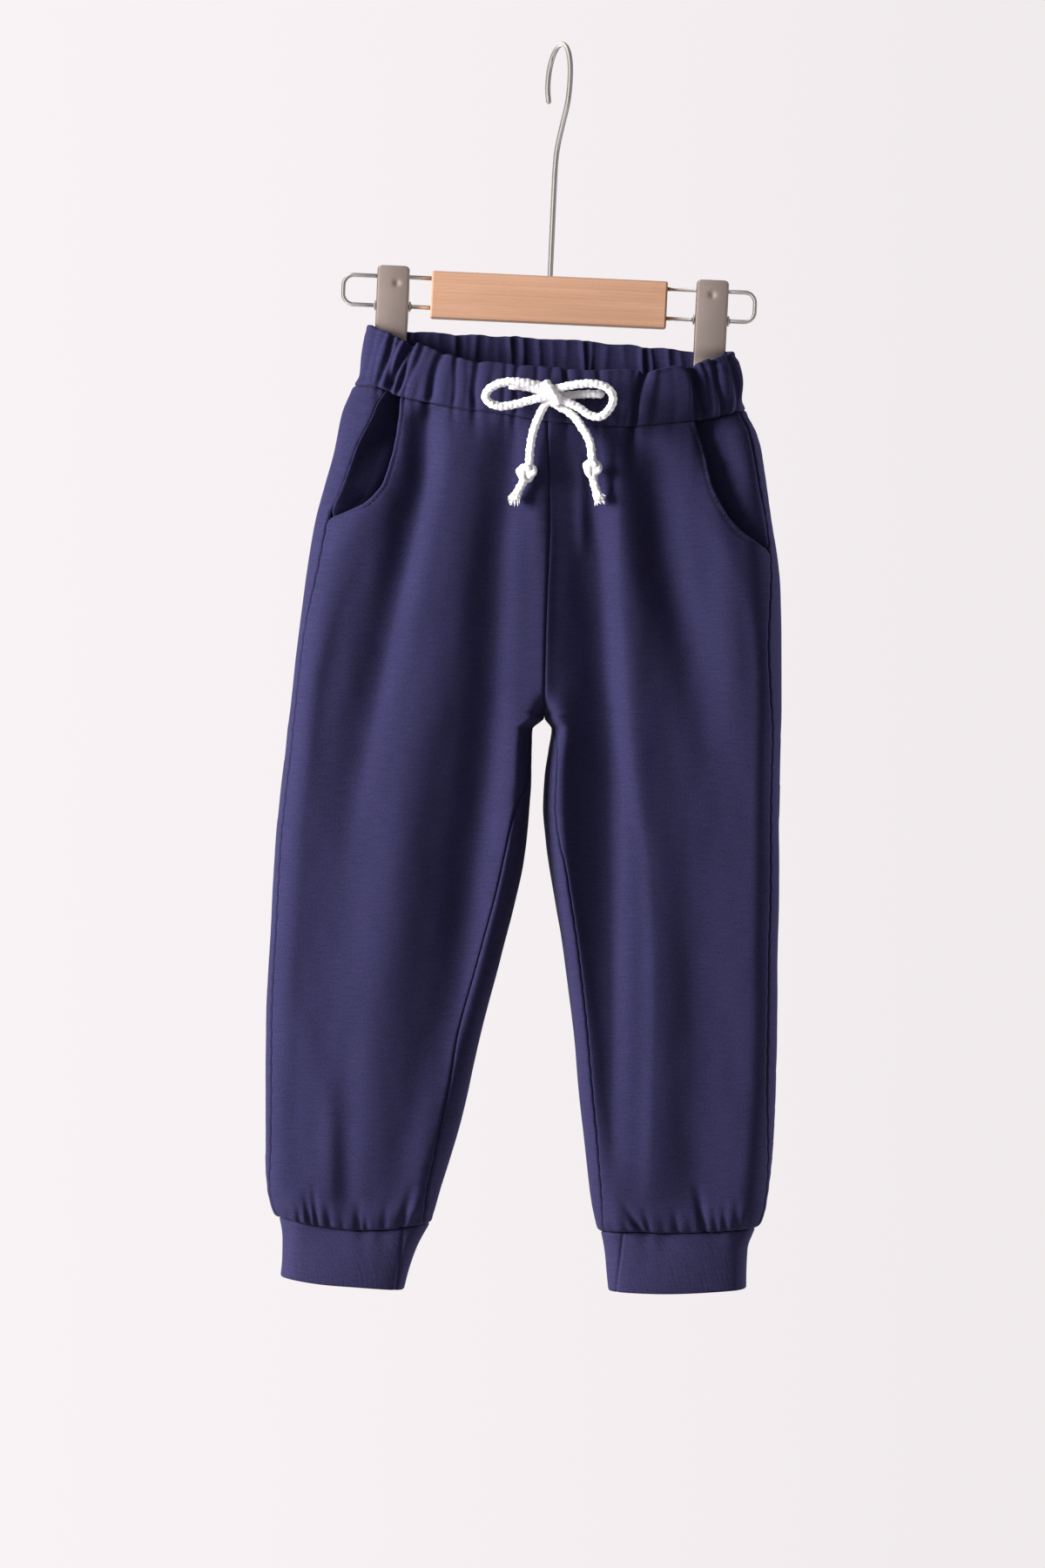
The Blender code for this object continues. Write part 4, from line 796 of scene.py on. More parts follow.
# Gathers over the cuffs: x at the cuff's seam, x at the gather's top, its length, half width, depth.
GATHER = ("foot", "head", "long", "half", "depth")
FRONT_GATHERS = (
    (-164, -165, 9, 2.3, 1.1), (-157.7, -158, 13, 1.9, 2.3), (-151.5, -153.5, 20, 2.1, 3.2),
    (-146.8, -149, 24, 1.9, 3.2), (-139.3, -140.5, 15, 2.1, 2.2), (-131, -131, 11, 2.1, 1.0),
    (-121.5, -121, 17, 2.3, 2.6), (-116.5, -117, 12, 1.9, 1.7), (-106, -104, 16, 2.3, 1.7),
    (-95.5, -87, 26, 3.0, 3.8), (-88, -80, 14, 2.3, 1.7),
    (35, 33, 10, 2.1, 1.0), (44, 40, 12, 2.3, 1.1), (52.9, 41, 17, 2.5, 3.2), (57.5, 54, 14, 1.9, 2.0),
    (66, 65, 10, 2.3, 0.9), (74.5, 73, 13, 2.1, 2.0), (83, 82, 10, 2.3, 0.9),
    (91.3, 87, 26, 2.5, 4.1), (98.3, 97, 14, 1.9, 2.0), (104.2, 103, 16, 1.9, 2.3),
    (111.2, 111, 18, 2.1, 2.2), (117.5, 119, 11, 1.9, 1.1),
)
BACK_GATHERS = (
    (-162, -164, 14, 2.3, 2.0), (-153, -154, 20, 2.3, 2.8), (-144, -146, 12, 2.3, 1.7),
    (-134, -134, 22, 2.5, 3.0), (-124, -122, 13, 2.3, 1.9), (-113, -111, 18, 2.3, 2.6),
    (-103, -102, 11, 2.1, 1.2), (-92, -89, 19, 2.5, 2.6), (-84, -81, 11, 2.1, 1.2),
    (34, 36, 13, 2.3, 1.9), (44, 43, 19, 2.3, 2.8), (54, 53, 12, 2.1, 1.2), (63, 62, 21, 2.5, 2.9),
    (73, 73, 12, 2.3, 1.7), (82, 83, 18, 2.3, 2.6), (92, 94, 11, 2.1, 1.7), (101, 102, 20, 2.5, 2.8),
    (112, 115, 12, 2.3, 1.9),
)
GATHERS = {FRONT: columns(GATHER, FRONT_GATHERS), BACK: columns(GATHER, BACK_GATHERS)}
BODY_SHARE = 0.85  # of a crease's depth just below the seam
FOOT_PUFF, FOOT_PUFF_AT, FOOT_PUFF_WIDTH = 2.4, 7.5, 7.5  # how the leg swells over the cuff
BROAD, BROAD_HIGH = (34, 70), 0.8  # the soft hollows of all cloth: their reach across and down, and height
SMALL, SMALL_HIGH = (11, 26), 0.22
UNEVEN = {"right": 3.0, "left": 9.0, "pockets": 5.0}  # each has hollows of its own
BACK_SHIFT = 400  # so that the back's hollows are not the front's


def bell(distance, half):
    """1 on a fold's line, falling away on both sides of it."""
    return np.exp(-SOFTNESS * (distance / half) ** 2)


def large_folds(face, x, drop):
    """How far all the large folds of a face lift these points."""
    total = np.zeros_like(x)
    for fold_face, left, right, line in FOLD_LINES:
        if fold_face == face:
            across = x - along(line, "drop", "x", drop)
            total += along(line, "drop", "height", drop) * bell(across, np.where(across < 0, left, right))
    return total


def waist_creases(face, x, below):
    """The band's gathers, where they run on into the body this far below the seam."""
    total = np.zeros_like(x)
    for seam, half, depth, run in each_row(CREASES[face], "seam", "half", "depth", "run"):
        wide = half * (1.1 + below / 22)
        total -= BODY_SHARE * depth * np.exp(-below / run) * bell(x - seam, wide)
    return total


def cuff_gathers(face, x, above):
    """The gathers over a cuff, this far above its seam, and the swell of the leg over it."""
    total = FOOT_PUFF * np.exp(-(((above - FOOT_PUFF_AT) / FOOT_PUFF_WIDTH) ** 2))
    for foot, head, tall, half, depth in each_row(GATHERS[face], *GATHER):
        share = np.clip(above / tall, 0, 2)
        fade = np.clip(1 - share / 1.25, 0, 1) ** 1.2
        total -= depth * fade * bell(x - foot - (head - foot) * share, half * (1 + 0.7 * share))
    return total


def unevenness(x, drop, seed):
    """Small soft hollows and swells that no cloth is without."""
    found = [
        BROAD_HIGH * noise.noise(Vector((a / BROAD[0], b / BROAD[1], seed)))
        + SMALL_HIGH * noise.noise(Vector((a / SMALL[0], b / SMALL[1], seed)))
        for a, b in zip(x.ravel(), drop.ravel())
    ]
    return np.array(found).reshape(x.shape)


print(len(FOLDS), "large folds,", len(FRONT_CREASES) + len(BACK_CREASES), "waist creases,",
      len(FRONT_GATHERS) + len(BACK_GATHERS), "cuff gathers")

# %% [markdown]
# ## Front and back panels
# Each panel is a net of the row lines: columns crowd at its edges, where the seams are, and rows crowd
# at the waist, the crotch and the ankle. A sewn seam shows as a thin groove between two soft rolls,
# because each panel's edge turns in to the stitches. The pocket's mouth is a folded, topstitched
# edge instead. The cloth's thickness is a modifier, so the folded edges look as thick as they are.

# %% Rows, columns and seams
# All in millimetres: how far from an edge its crowded columns lie, how deep and wide the groove of a
# sewn seam is, and how high, how far off and how wide the soft roll beside it is.
EDGE_STEPS = np.array([0.0, 0.3, 0.6, 0.95, 1.5, 2.3, 3.4, 5.0])
SLANT_FADES = 5.0  # the columns' extra room at a slanting mouth fades out this far above its foot
SEAM_GROOVE, SEAM_GROOVE_HALF = 1.15, 0.62
SEAM_ROLL, SEAM_ROLL_AT, SEAM_ROLL_HALF = 0.14, 2.4, 1.4
# How hard each side seam is pulled in beside the pocket and below it.
SIDE_GROOVE = {"right": (0.4, 1.6), "left": (1.0, 1.0)}
PUCKER, PUCKER_PITCH, PUCKER_REACH = 0.30, 11.0, 6.0
STITCH_LINE = 2.3  # the topstitches' distance from the mouth's edge
MIDDLE_REACH = 14  # beside the centre seams the relief goes straight forward or back
TERRY_THICK = 1.7
COLUMN_STEP = 1.9


def spaced(stops):
    """Drops from stop to stop at the stops' own steps: (drop, step from here on)."""
    found = []
    for (here, step), (there, _) in zip(stops, stops[1:]):
        found.extend(np.linspace(here, there, max(2, round((there - here) / step) + 1))[:-1])
    return [*found, stops[-1][0]]


def seam_shape(distance):
    """How a sewn edge turns in and rolls, this far from the stitches."""
    groove = -SEAM_GROOVE * np.exp(-((distance / SEAM_GROOVE_HALF) ** 2))
    return groove + SEAM_ROLL * np.exp(-(((distance - SEAM_ROLL_AT) / SEAM_ROLL_HALF) ** 2))


def side_groove(half, nominal):
    """How hard the side seam is pulled in at these nominal drops."""
    foot = half.pocket_foot()
    return np.interp(nominal, (foot - 10, foot), SIDE_GROOVE[half.side])


def mouth_shape(distance):
    """The pocket's folded edge: it rounds over, swells, and its stitches pull a line in."""
    rounded = -0.9 * np.exp(-((distance / 0.6) ** 2))
    swell = 0.22 * np.exp(-(((distance - 1.3) / 0.8) ** 2))
    stitched = -0.50 * np.exp(-(((distance - STITCH_LINE) / 0.5) ** 2))
    return rounded + swell + stitched


def crowded(start, end, start_scale, count):
    """Lengths from start to end: close together at both edges and even between them."""
    way = 1.0 if end > start else -1.0
    near, far = start + way * EDGE_STEPS * start_scale, end - way * EDGE_STEPS[::-1]
    return np.concatenate([near, np.linspace(near[-1], far[0], count + 2)[1:-1], far])


def panel_rows(half):
    """The rows' nominal drops: from the band to the pocket's foot, and on down to the cuff."""
    foot = half.pocket_foot()
    upper = spaced([(WAIST_DROP, 0.6), (WAIST_DROP + 5, 1.2), (WAIST_DROP + 30, 1.5), (foot - 8, 0.8),
                    (foot, 1)])
    lower = spaced([(foot, 1.6), (foot + 10, 2.6), (400, 1.1), (426, 2.0), (440, 3.0), (688, 1.4),
                    (ANKLE_DROP - 5, 0.6), (ANKLE_DROP, 1)])
    return upper, lower[1:]


def hang_sheet(piece, widths, drops):
    """Says what flat cut a hung piece has: the widths of its rows, and the drops they are at."""
    cut = (widths.max() * MM, (drops[-1] - drops[0]) * MM)
    area = np.trapz(widths, drops) * MM * MM
    min(area, cut[0] * cut[1])
    print(piece.name, "cut", [round(side, 3) for side in cut], "m, area", round(area, 5), "m2")


def finish_panel(name, half, grid, uv, edges, node):
    """Adds folds, seams and unevenness to a panel's net and puts it in the scene."""
    x, lift = grid[..., 0], grid[..., 3]
    drop = -grid[..., 2]
    nominal, first, second, is_mouth = edges
    below, above = nominal - WAIST_DROP, ANKLE_DROP - nominal
    shapes = {}
    for face in (FRONT, BACK):
        small = waist_creases(face, x, below) + cuff_gathers(face, x, above)
        shapes[face] = large_folds(face, x, drop) + small
    folds = lift * np.where(lift < 0, shapes[FRONT], shapes[BACK])
    seams = np.where(is_mouth, mouth_shape(first), seam_shape(first) * side_groove(half, nominal))
    seams += seam_shape(second)
    seams += seam_shape(below) + seam_shape(above)
    near = np.exp(-np.minimum(first, second) / PUCKER_REACH)
    seams += PUCKER * near * np.sin(2 * math.pi * drop / PUCKER_PITCH + 1.7 * np.sin(drop / 23.0))
    hollows = unevenness(x + BACK_SHIFT * (lift > 0), drop, UNEVEN[half.side])
    seams += hollows * np.clip(below / 12, 0, 1)
    points = grid[..., :3].copy()
    open_row = np.array([not half.row(drop).closed for drop in nominal[:, 0]])
    middle = open_row[:, None] & (second < MIDDLE_REACH)
    across = np.where(middle, 0.0, grid[..., 4])
    inwards = np.where(middle, np.where(lift < 0, -1.0, 1.0), grid[..., 5])
    points[..., 0] += across * seams
    points[..., 1] += inwards * seams + folds
    panel = add_piece(name, net(name, points, uv, outward=grid[..., 4:]), TERRY, "navy_terry", node)
    thicken(panel, TERRY_THICK)
    hang_sheet(panel, uv[..., 0].max(axis=1) - uv[..., 0].min(axis=1), nominal[:, 0])


def mouth_slant(half, drop):
    """How much longer a row's way to the pocket's mouth is than the shortest way."""
    step = 0.5
    mouth = half.mouth
    rise = along(mouth, "drop", "x", drop + step) - along(mouth, "drop", "x", drop - step)
    return math.sqrt(1 + (rise / (2 * step)) ** 2)


def front_panel(half):
    """From the pocket's mouth, or the side seam below it, to the centre seam or inseam."""
    upper, lower = panel_rows(half)
    foot_drop = half.mouth["drop"][-1]
    widest = max(half.row(drop).seam for drop in lower[::8])
    count = int(widest / COLUMN_STEP)
    grid, uv, first, second, mouth = [], [], [], [], []
    for i, drop in enumerate(upper + lower):
        row = half.row(drop)
        in_mouth = i < len(upper)
        start = half.mouth_place(row) if in_mouth else row.seam
        slant = 1.0
        if in_mouth:
            crossing = -row.at(np.array([start]))[0, 2]
            faded = min(1.0, (foot_drop - crossing) / SLANT_FADES)
            slant = 1 + (mouth_slant(half, crossing) - 1) * faded
        at = crowded(start, 0.0, max(1.0, slant), count)
        grid.append(row.at(at))
        uv.append(np.column_stack([row.seam - at, np.full_like(at, -drop)]))
        first.append(np.abs(at - start) / max(1.0, slant))
        second.append(at)
        mouth.append(np.full(len(at), in_mouth and i < len(upper) - 1))
    nominal = np.repeat(np.array(upper + lower)[:, None], len(at), axis=1)
    edges = (nominal, np.array(first), np.array(second), np.array(mouth))
    finish_panel(f"front_cloth_{half.side}", half, np.array(grid), np.array(uv), edges,
                 f"front_panel_{half.side}")


def back_panel(half):
    """From the side seam round the back to the centre seam or inseam."""
    upper, lower = panel_rows(half)
    grid, uv, first, second = [], [], [], []
    widest = max(half.row(drop).total - half.row(drop).seam for drop in lower[::8])
    count = int(widest / COLUMN_STEP)
    for drop in upper + lower:
        row = half.row(drop)
        end = row.total if row.closed else row.total - row.start
        at = crowded(row.seam, end, 1.0, count)
        grid.append(row.at(at))
        uv.append(np.column_stack([at - row.seam, np.full_like(at, -drop)]))
        first.append(at - row.seam)
        second.append(end - at)
    nominal = np.repeat(np.array(upper + lower)[:, None], len(at), axis=1)
    edges = (nominal, np.array(first), np.array(second), np.zeros(nominal.shape, bool))
    finish_panel(f"back_cloth_{half.side}", half, np.array(grid), np.array(uv), edges,
                 f"back_panel_{half.side}")


for half in HALVES.values():
    front_panel(half)
    back_panel(half)

# %% [markdown]
# ## Pocket facings and stitches
# Behind each slanted mouth lies the hip piece of the pocket, cut from the same cloth. It is level with
# the body at the side seam and sinks towards the mouth, so the pocket gapes. Under the front panel it
# turns forward again, as the pocket's bag would, so nobody looks through the mouth into the leg. The
# mouth's topstitching is a row of single thread stitches, set into the line that they pull in.

# %% The facings
FACING_BEHIND = 2.6  # at least this far behind the body's face, which leaves room for the front panel
FACING_OVERLAP = 12.0  # how far it runs on under the front panel
FACING_SHOWN, FACING_HIDDEN = 30, 6  # columns up to the mouth, and under the front panel
TURNED_BACK = 0.9  # the share of its depth that it gives up again under the front panel
# How deep the hip piece sinks behind the mouth, and the share of its width that stays level first, near
# the band, half way down and at the foot. The right pocket gapes more.
POCKET_GAPE = {"right": (25.0, (0.04, 0.03, 0.02)), "left": (11.0, (0.12, 0.12, 0.12))}
GAPE_CURVE = {"right": 0.95, "left": 1.15}  # under 1, it falls away at once and then more slowly
GAPE_LEAST = 0.16  # near the band the pocket stays as deep as at this share of the way down
# Shares of the way down from the band to the foot, which count as even steps for the pocket's depth.
POCKET_ROWS = (0.0, 0.2, 0.42, 0.6, 0.75, 0.86, 0.94, 1.0)
POCKET_CLOSES = 0.86  # from this share on, its whole width comes to lie behind the front panel


def pocket_facing(half):
    """The hip piece, from the side seam to its hidden edge under the front panel."""
    upper, _ = panel_rows(half)
    steps = np.linspace(0, 1, len(POCKET_ROWS))
    gape, level_shares = POCKET_GAPE[half.side]
    shown = np.linspace(0, 1, FACING_SHOWN)
    share = np.concatenate([shown, np.ones(FACING_HIDDEN)])
    turned = np.concatenate([np.zeros(FACING_SHOWN - 1), np.linspace(0, 1, FACING_HIDDEN + 1)])
    points, uv, outward = [], [], []
    for drop in upper:
        row = half.row(drop)
        share_down = (drop - upper[0]) / (upper[-1] - upper[0])
        foot = np.interp(share_down, POCKET_ROWS, steps)
        seam, mouth = row.seam, half.mouth_place(row)
        hollow = gape * min(1.0, 1.25 * math.sin(math.pi * min(max(foot, GAPE_LEAST), 0.999)) ** 0.7)
        level = np.interp(foot, (0.0, 0.4, 0.9), level_shares)
        hidden = np.linspace(mouth, mouth - FACING_OVERLAP, FACING_HIDDEN + 1)[1:]
        at = np.concatenate([seam + (mouth - seam) * shown, hidden])
        sunk = np.clip((share - level) / (1 - level), 0, 1)
        closing = np.clip((foot - POCKET_CLOSES) / (1 - POCKET_CLOSES), 0, 1)
        depth = FACING_BEHIND * np.maximum(np.minimum(1.0, 2.2 * share), closing)
        depth = depth + hollow * sunk ** GAPE_CURVE[half.side] * (1 - TURNED_BACK * turned ** 2)
        found = row.at(at)
        depth = depth - seam_shape(np.abs(at - seam)) * side_groove(half, drop)
        depth = depth - seam_shape(np.full_like(at, drop - WAIST_DROP))
        depth = depth - unevenness(found[:, 0], -found[:, 2], UNEVEN["pockets"]) * 0.7
        folds = found[:, 3] * large_folds(FRONT, found[:, 0], -found[:, 2])
        place = found[:, :3].copy()
        place[:, :2] -= found[:, 4:] * depth[:, None]
        place[:, 1] += folds
        points.append(place)
        uv.append(np.column_stack([lengths_along(place), np.full_like(at, -drop)]))
        outward.append(found[:, 4:])
    points, uv = np.array(points), np.array(uv)
    name = f"pocket_hip_{half.side}"
    data = net(name, points, uv, outward=np.array(outward))
    piece = add_piece(name, data, TERRY, "navy_terry", f"pocket_facing_{half.side}")
    thicken(piece, TERRY_THICK)
    hang_sheet(piece, uv[:, -1, 0], upper)


for half in HALVES.values():
    pocket_facing(half)

# %% The topstitches of the pockets' mouths
STITCH, STITCH_PITCH, STITCH_THICK = 2.3, 3.1, 0.55
STITCH_LIFT = 0.12  # of its middle over the bottom of its line
# The thread is coloured far darker than the cloth's navy, from a quarter to six tenths of it: painted shade
# of the stitch holes, with a random twist along it.
THREAD = Finish("navy_thread", 0.6, specular=0.35)
twist = THREAD.grain(THREAD.stretched(THREAD.place, (900, 900, 300)), 1.0)
THREAD.vary("Base Color", THREAD.blend(twist, shade(NAVY, 0.25), shade(NAVY, 0.6)))


def mouth_stitches(half):
    """Follows the mouth at the stitches' distance from its edge and lays short threads along it."""
    upper, _ = panel_rows(half)
    line = []
    for drop in upper[4:-6]:
        row = half.row(drop)
        start = half.mouth_place(row)
        crossing = -row.at(np.array([start]))[0, 2]
        found = row.at(np.array([start - STITCH_LINE * mouth_slant(half, crossing)]))[0]
        here = found[:3].copy()
        here[1] += found[3] * (
            large_folds(FRONT, found[:1], -found[2:3])[0]
            + waist_creases(FRONT, found[:1], np.array([drop - WAIST_DROP]))[0]
        )
        here[:2] += found[4:] * (mouth_shape(np.array([STITCH_LINE]))[0] + STITCH_LIFT)
        line.append(here)
    line = np.array(line)
    reach = lengths_along(line)
    at = np.arange(1.0, reach[-1] - STITCH, STITCH_PITCH)
    mesh = bmesh.new()
    for start in at:
        a, b = (Vector([np.interp(s, reach, line[:, i]) for i in range(3)]) for s in (start, start + STITCH))
        stitch = bmesh.ops.create_icosphere(mesh, subdivisions=1, radius=0.5)
        stand = Vector((0, 0, 1)).rotation_difference(b - a).to_matrix().to_4x4()
        size = Matrix.Diagonal((STITCH_THICK, STITCH_THICK, (b - a).length, 1))
        place = Matrix.Scale(MM, 4) @ Matrix.Translation((a + b) / 2) @ stand @ size
        bmesh.ops.transform(mesh, matrix=place, verts=stitch["verts"])
    data = finished_mesh(f"mouth_stitches_{half.side}", mesh)
    data.shade_smooth()
    add_piece(data.name, data, THREAD.material, "navy_terry")
    print(data.name, len(at), "stitches")


for half in HALVES.values():
    mouth_stitches(half)

# %% [markdown]
# ## The waistband
# The band is one strip of the same cloth, folded over a wide elastic. The elastic is shorter than the
# cloth, so it gathers the band into upright creases, tight at some places and loose at others. It is
# drawn as a closed net: round the waist one way, and over the fold from the outer wall to the inner
# wall the other way. The same creases show on both walls, because the elastic presses them through.
# Between its deep creases, the band's left half lies flat and stands out further.

# %% The folded band
FRONT_TOP = (
    (-114.5, 173.3), (-111.5, 175.2), (-93, 183.4), (-80, 188.3), (-60, 194.6), (-48, 198.0),
    (-25, 199.6), (0, 202.0), (32, 203.2), (56, 203.2), (74, 200.2), (85, 198.6), (105, 191.4),
    (110.7, 189.5),
)
BACK_TOP = ((-114.5, 173.3), (-90, 176.3), (0, 181.0), (58, 186.0), (84, 188.4), (110.7, 189.5))
BAND_CENTRE = -2.7
BAND = ("share", "centre", "width", "puff")  # at each share of the height
BAND_ROWS = columns(BAND, (
    (0.0, -2.7, 1.0, 0.0), (0.18, -2.3, 0.972, 1.3), (0.5, -2.2, 0.962, 2.0), (0.82, -2.3, 0.946, 1.4),
    (0.95, -2.4, 0.937, 0.5), (1.0, -2.4, 0.937, 0.5),
))
SIDE_PUFF, FULL_PUFF = 0.3, 2.0
BAND_THICK, BAND_HIGH = 3.2, 36.0
BAND_STATIONS = 960
TOP_BEND = 0.045  # share of the height taken by the round of the fold
NOTCH, BACK_NOTCH = 0.42, 0.55  # how far a crease pulls the folded edge down, and the back's share of it
FLAT = ("start", "end", "out")
BAND_FLATS = columns(FLAT, ((50, 80, 5.0), (86, 110, 7.5)))
FLAT_END = 4.5  # over what length a flat stretch falls back


def band_flats(x):
    """How far the flat stretches stand out: they rise from x to x, and then fall back."""
    total = np.zeros_like(x)
    for start, end, out in each_row(BAND_FLATS, *FLAT):
        total += out * np.clip((x - start) / (end - start), 0, 1) * bell(np.maximum(x - end, 0), FLAT_END)
    return total


def band_creases(face, x, share):
    """How far the elastic presses the band in, and how far it bulges between its creases."""
    total = np.zeros_like(x)
    for top, seam, half, depth in each_row(CREASES[face], "top", "seam", "half", "depth"):
        # A crease wanders a little on its way up the band, and a shallow one fades here and there.
        middle = seam + (top - seam) * share
        wander = 0.7 * math.sin(seam * 0.7 + 5.0 * share)
        weaker = math.exp(-depth / 3) * (0.5 + 0.5 * math.sin(seam * 1.3 + 3.6 * share))
        total -= depth * (1 - weaker) * bell(x - middle - wander, half)
        total += 0.2 * depth * (1 - weaker) * bell(x - middle - wander - 2.2 * half, half * 1.2)
    return total


def ring_points(stations):
    """Evenly spaced points and outward directions all round the waist, and the lengths to them."""
    rows = [half.row(WAIST_DROP) for half in HALVES.values()]
    points = np.vstack([rows[0].points, rows[1].points[::-1][1:]])
    out = np.vstack([rows[0].out, rows[1].out[::-1][1:]])
    length = lengths_along(points)
    at = np.linspace(0, length[-1], stations + 1)
    ring = np.column_stack([np.interp(at, length, points[:, i]) for i in range(3)])
    facing = np.column_stack([np.interp(at, length, out[:, i]) for i in range(2)])
    return ring, facing / np.linalg.norm(facing, axis=1)[:, None], at


def folded_wall(seam_steps, outer_steps, fold_steps, inner_steps, bend, thick):
    """Share of the height and inset from the outer face, from the seam over the fold and down."""
    outer = [*seam_steps[:-1], *np.linspace(seam_steps[-1], 1 - bend, outer_steps)]
    walk = [(share, 0.0) for share in outer]
    for angle in np.linspace(0, math.pi, fold_steps + 1)[1:-1]:
        walk.append((1 - bend + bend * math.sin(angle), thick / 2 * (1 - math.cos(angle))))
    return walk + [(share, thick) for share in np.linspace(1 - bend, 0.0, inner_steps)]


ring, facing, round_it = ring_points(BAND_STATIONS)
front_top, back_top = columns(EDGE, FRONT_TOP), columns(EDGE, BACK_TOP)
edge_y = along(BODY_DEPTH, "drop", "edge", WAIST_DROP)
is_front = ring[:, 1] < edge_y
from_middle = ring[:, 0] - BAND_CENTRE
top_x = BAND_ROWS["centre"][-1] + from_middle * BAND_ROWS["width"][-1]
top = -np.where(is_front, along(front_top, "x", "drop", top_x), along(back_top, "x", "drop", top_x))
foot = ring[:, 2]
frontness, backness = np.maximum(0, -facing[:, 1]), np.maximum(0, facing[:, 1])
notch = NOTCH * np.where(is_front, 1.0, BACK_NOTCH)

band_points, band_uv, walked = [], [], 0.0
profile = folded_wall((0.0, 0.012, 0.025, 0.04, 0.06, 0.1), 22, 8, 16, TOP_BEND, BAND_THICK)
profile += [(0.0, BAND_THICK * 0.55), (0.0, 0.0)]
for (share, inset), (before, _) in zip(profile, [profile[0], *profile]):
    centre, width, puff = (along(BAND_ROWS, "share", name, share) for name in BAND[1:])
    here = centre + from_middle * width
    pressed = frontness**0.5 * band_creases(FRONT, here, share)
    pressed = pressed + backness**0.5 * band_creases(BACK, here, share)
    swell = puff * np.maximum(frontness, np.abs(facing[:, 0]) * SIDE_PUFF)
    swell = swell + frontness * band_flats(here) * puff / FULL_PUFF
    groove = seam_shape(np.array([share * (top[0] - foot[0])]))[0] if inset == 0.0 else 0.0
    # The creases are weaker at the seam, which holds the cloth, and on the inner wall.
    ease = min(1.0, 0.55 + share * 3) * (1.0 if inset < BAND_THICK / 2 else 0.6)
    move = swell + pressed * ease + groove - inset
    z = foot + (top - foot) * share + notch * pressed * share**6
    z = z + 0.5 * np.sin(round_it / 5.3 + 1.3 * np.sin(round_it / 17.0)) * share**8
    band_points.append(np.column_stack([here + facing[:, 0] * move, ring[:, 1] + facing[:, 1] * move, z]))
    walked += abs(share - before) * BAND_HIGH
    band_uv.append(np.column_stack([round_it, np.full_like(round_it, -walked)]))
band_data = net("waistband_cloth", closed_tube(np.array(band_points)), np.array(band_uv))
waistband = add_piece("waistband_cloth", band_data, TERRY, "navy_terry", "waistband")

# %% [markdown]
# ## The cuffs
# Each cuff is a strip of rib, sewn into a tube, folded in half and stretched onto the leg's gathered
# foot. It narrows towards the hem. Its fine ridges are in the finish. The net has its soft tucks under
# the leg's seam, and the one upright seam that joins its ends.

# %% Two rib tubes with folded hems
CUFF = ("share", "outer", "inner")
RIGHT_CUFF = ((0.0, -170.6, -77.6), (0.35, -169.4, -85.8), (0.7, -169.4, -90.6), (1.0, -170.0, -93.4))
LEFT_CUFF = ((0.0, 123.2, 27.9), (0.35, 118.6, 29.8), (0.7, 118.4, 31.2), (1.0, 118.4, 32.8))
RIGHT_CUFF_HEM = ((-170, 761.4), (-144, 765.4), (-122, 767.2), (-92, 769.8))
LEFT_CUFF_HEM = ((34, 770.2), (67, 771.2), (111, 769.4), (119, 768.6))
CUFF_FRONT, CUFF_BACK, CUFF_ROUND, CUFF_RUN = -23.0, 7.0, 20.0, 1.5
CUFF_THICK, CUFF_HIGH = 2.6, 38.0
CUFF_STATIONS = 560
HEM_BEND = 0.04
CUFF_SEAMS = {"right": -98.0, "left": 37.0}  # x of each cuff's own joining seam
CUFF_SEAM, CUFF_SEAM_LEAN = 0.9, 4  # depth and half width of that seam, and how far it leans


def cuff(half, rows, hem):
    """A rib tube from the leg's seam to its folded hem and up again inside."""
    table, foot = columns(CUFF, rows), columns(EDGE, hem)
    angle = np.linspace(0, 2 * math.pi, CUFF_STATIONS + 1)
    c, s = np.cos(angle), np.sin(angle)
    middle, deep = (CUFF_FRONT + CUFF_BACK) / 2, (CUFF_BACK - CUFF_FRONT) / 2
    joined = CUFF_SEAMS[half.side]
    points, uv, walked = [], [], 0.0
    profile = folded_wall((0.0, 0.012, 0.025, 0.045, 0.07, 0.11), 18, 7, 10, HEM_BEND, CUFF_THICK)
    profile.append((0.0, 0.0))
    for (share, inset), (before, _) in zip(profile, [profile[0], *profile]):
        side_x, inner_x = (along(table, "share", name, share) for name in CUFF[1:])
        centre, reach = (side_x + inner_x) / 2, abs(side_x - inner_x) / 2
        run = np.sign(c) * np.sin(math.pi / 2 * np.minimum(1.0, np.abs(c) * CUFF_RUN)) * (reach - CUFF_ROUND)
        groove = seam_shape(np.array([share * CUFF_HIGH]))[0] * 0.8 if inset == 0.0 else 0.0
        x = centre + run + c * CUFF_ROUND
        # Small tucks under the leg's seam fade towards the hem; broad soft hollows do not.
        tuck = 0.5 * np.exp(-share * 5) * np.sin(x / 3.1 + 1.9 * np.sin(x / 9.0))
        soft = 0.5 * np.sin(x / 19.0 + 3 * share + (2 if half.side == "left" else 0))
        from_seam = x - joined - CUFF_SEAM_LEAN * (1 - share)
        seam_line = -CUFF_SEAM * np.exp(-((from_seam / CUFF_SEAM) ** 2)) * (s < 0)
        move = groove + tuck + soft + seam_line - inset
        x = x + c * move
        y = middle + s * (deep + move)
        top = along(half.cuff_top, "x", "drop", x)
        z = -(top + (along(foot, "x", "drop", x) - top) * share)
        points.append(np.column_stack([x, y, z]))
        girth = lengths_along(np.column_stack([centre + run + c * CUFF_ROUND, middle + s * deep]))
        walked += abs(share - before) * CUFF_HIGH
        uv.append(np.column_stack([girth, np.full_like(girth, -walked)]))
    name = f"rib_cuff_{half.side}"
    data = net(name, closed_tube(np.array(points)), np.array(uv))
    piece = add_piece(name, data, RIB, "navy_rib", f"cuff_{half.side}")
    print(name, "round", round(girth[-1]), "mm")


cuff(HALVES["right"], RIGHT_CUFF, RIGHT_CUFF_HEM)
cuff(HALVES["left"], LEFT_CUFF, LEFT_CUFF_HEM)
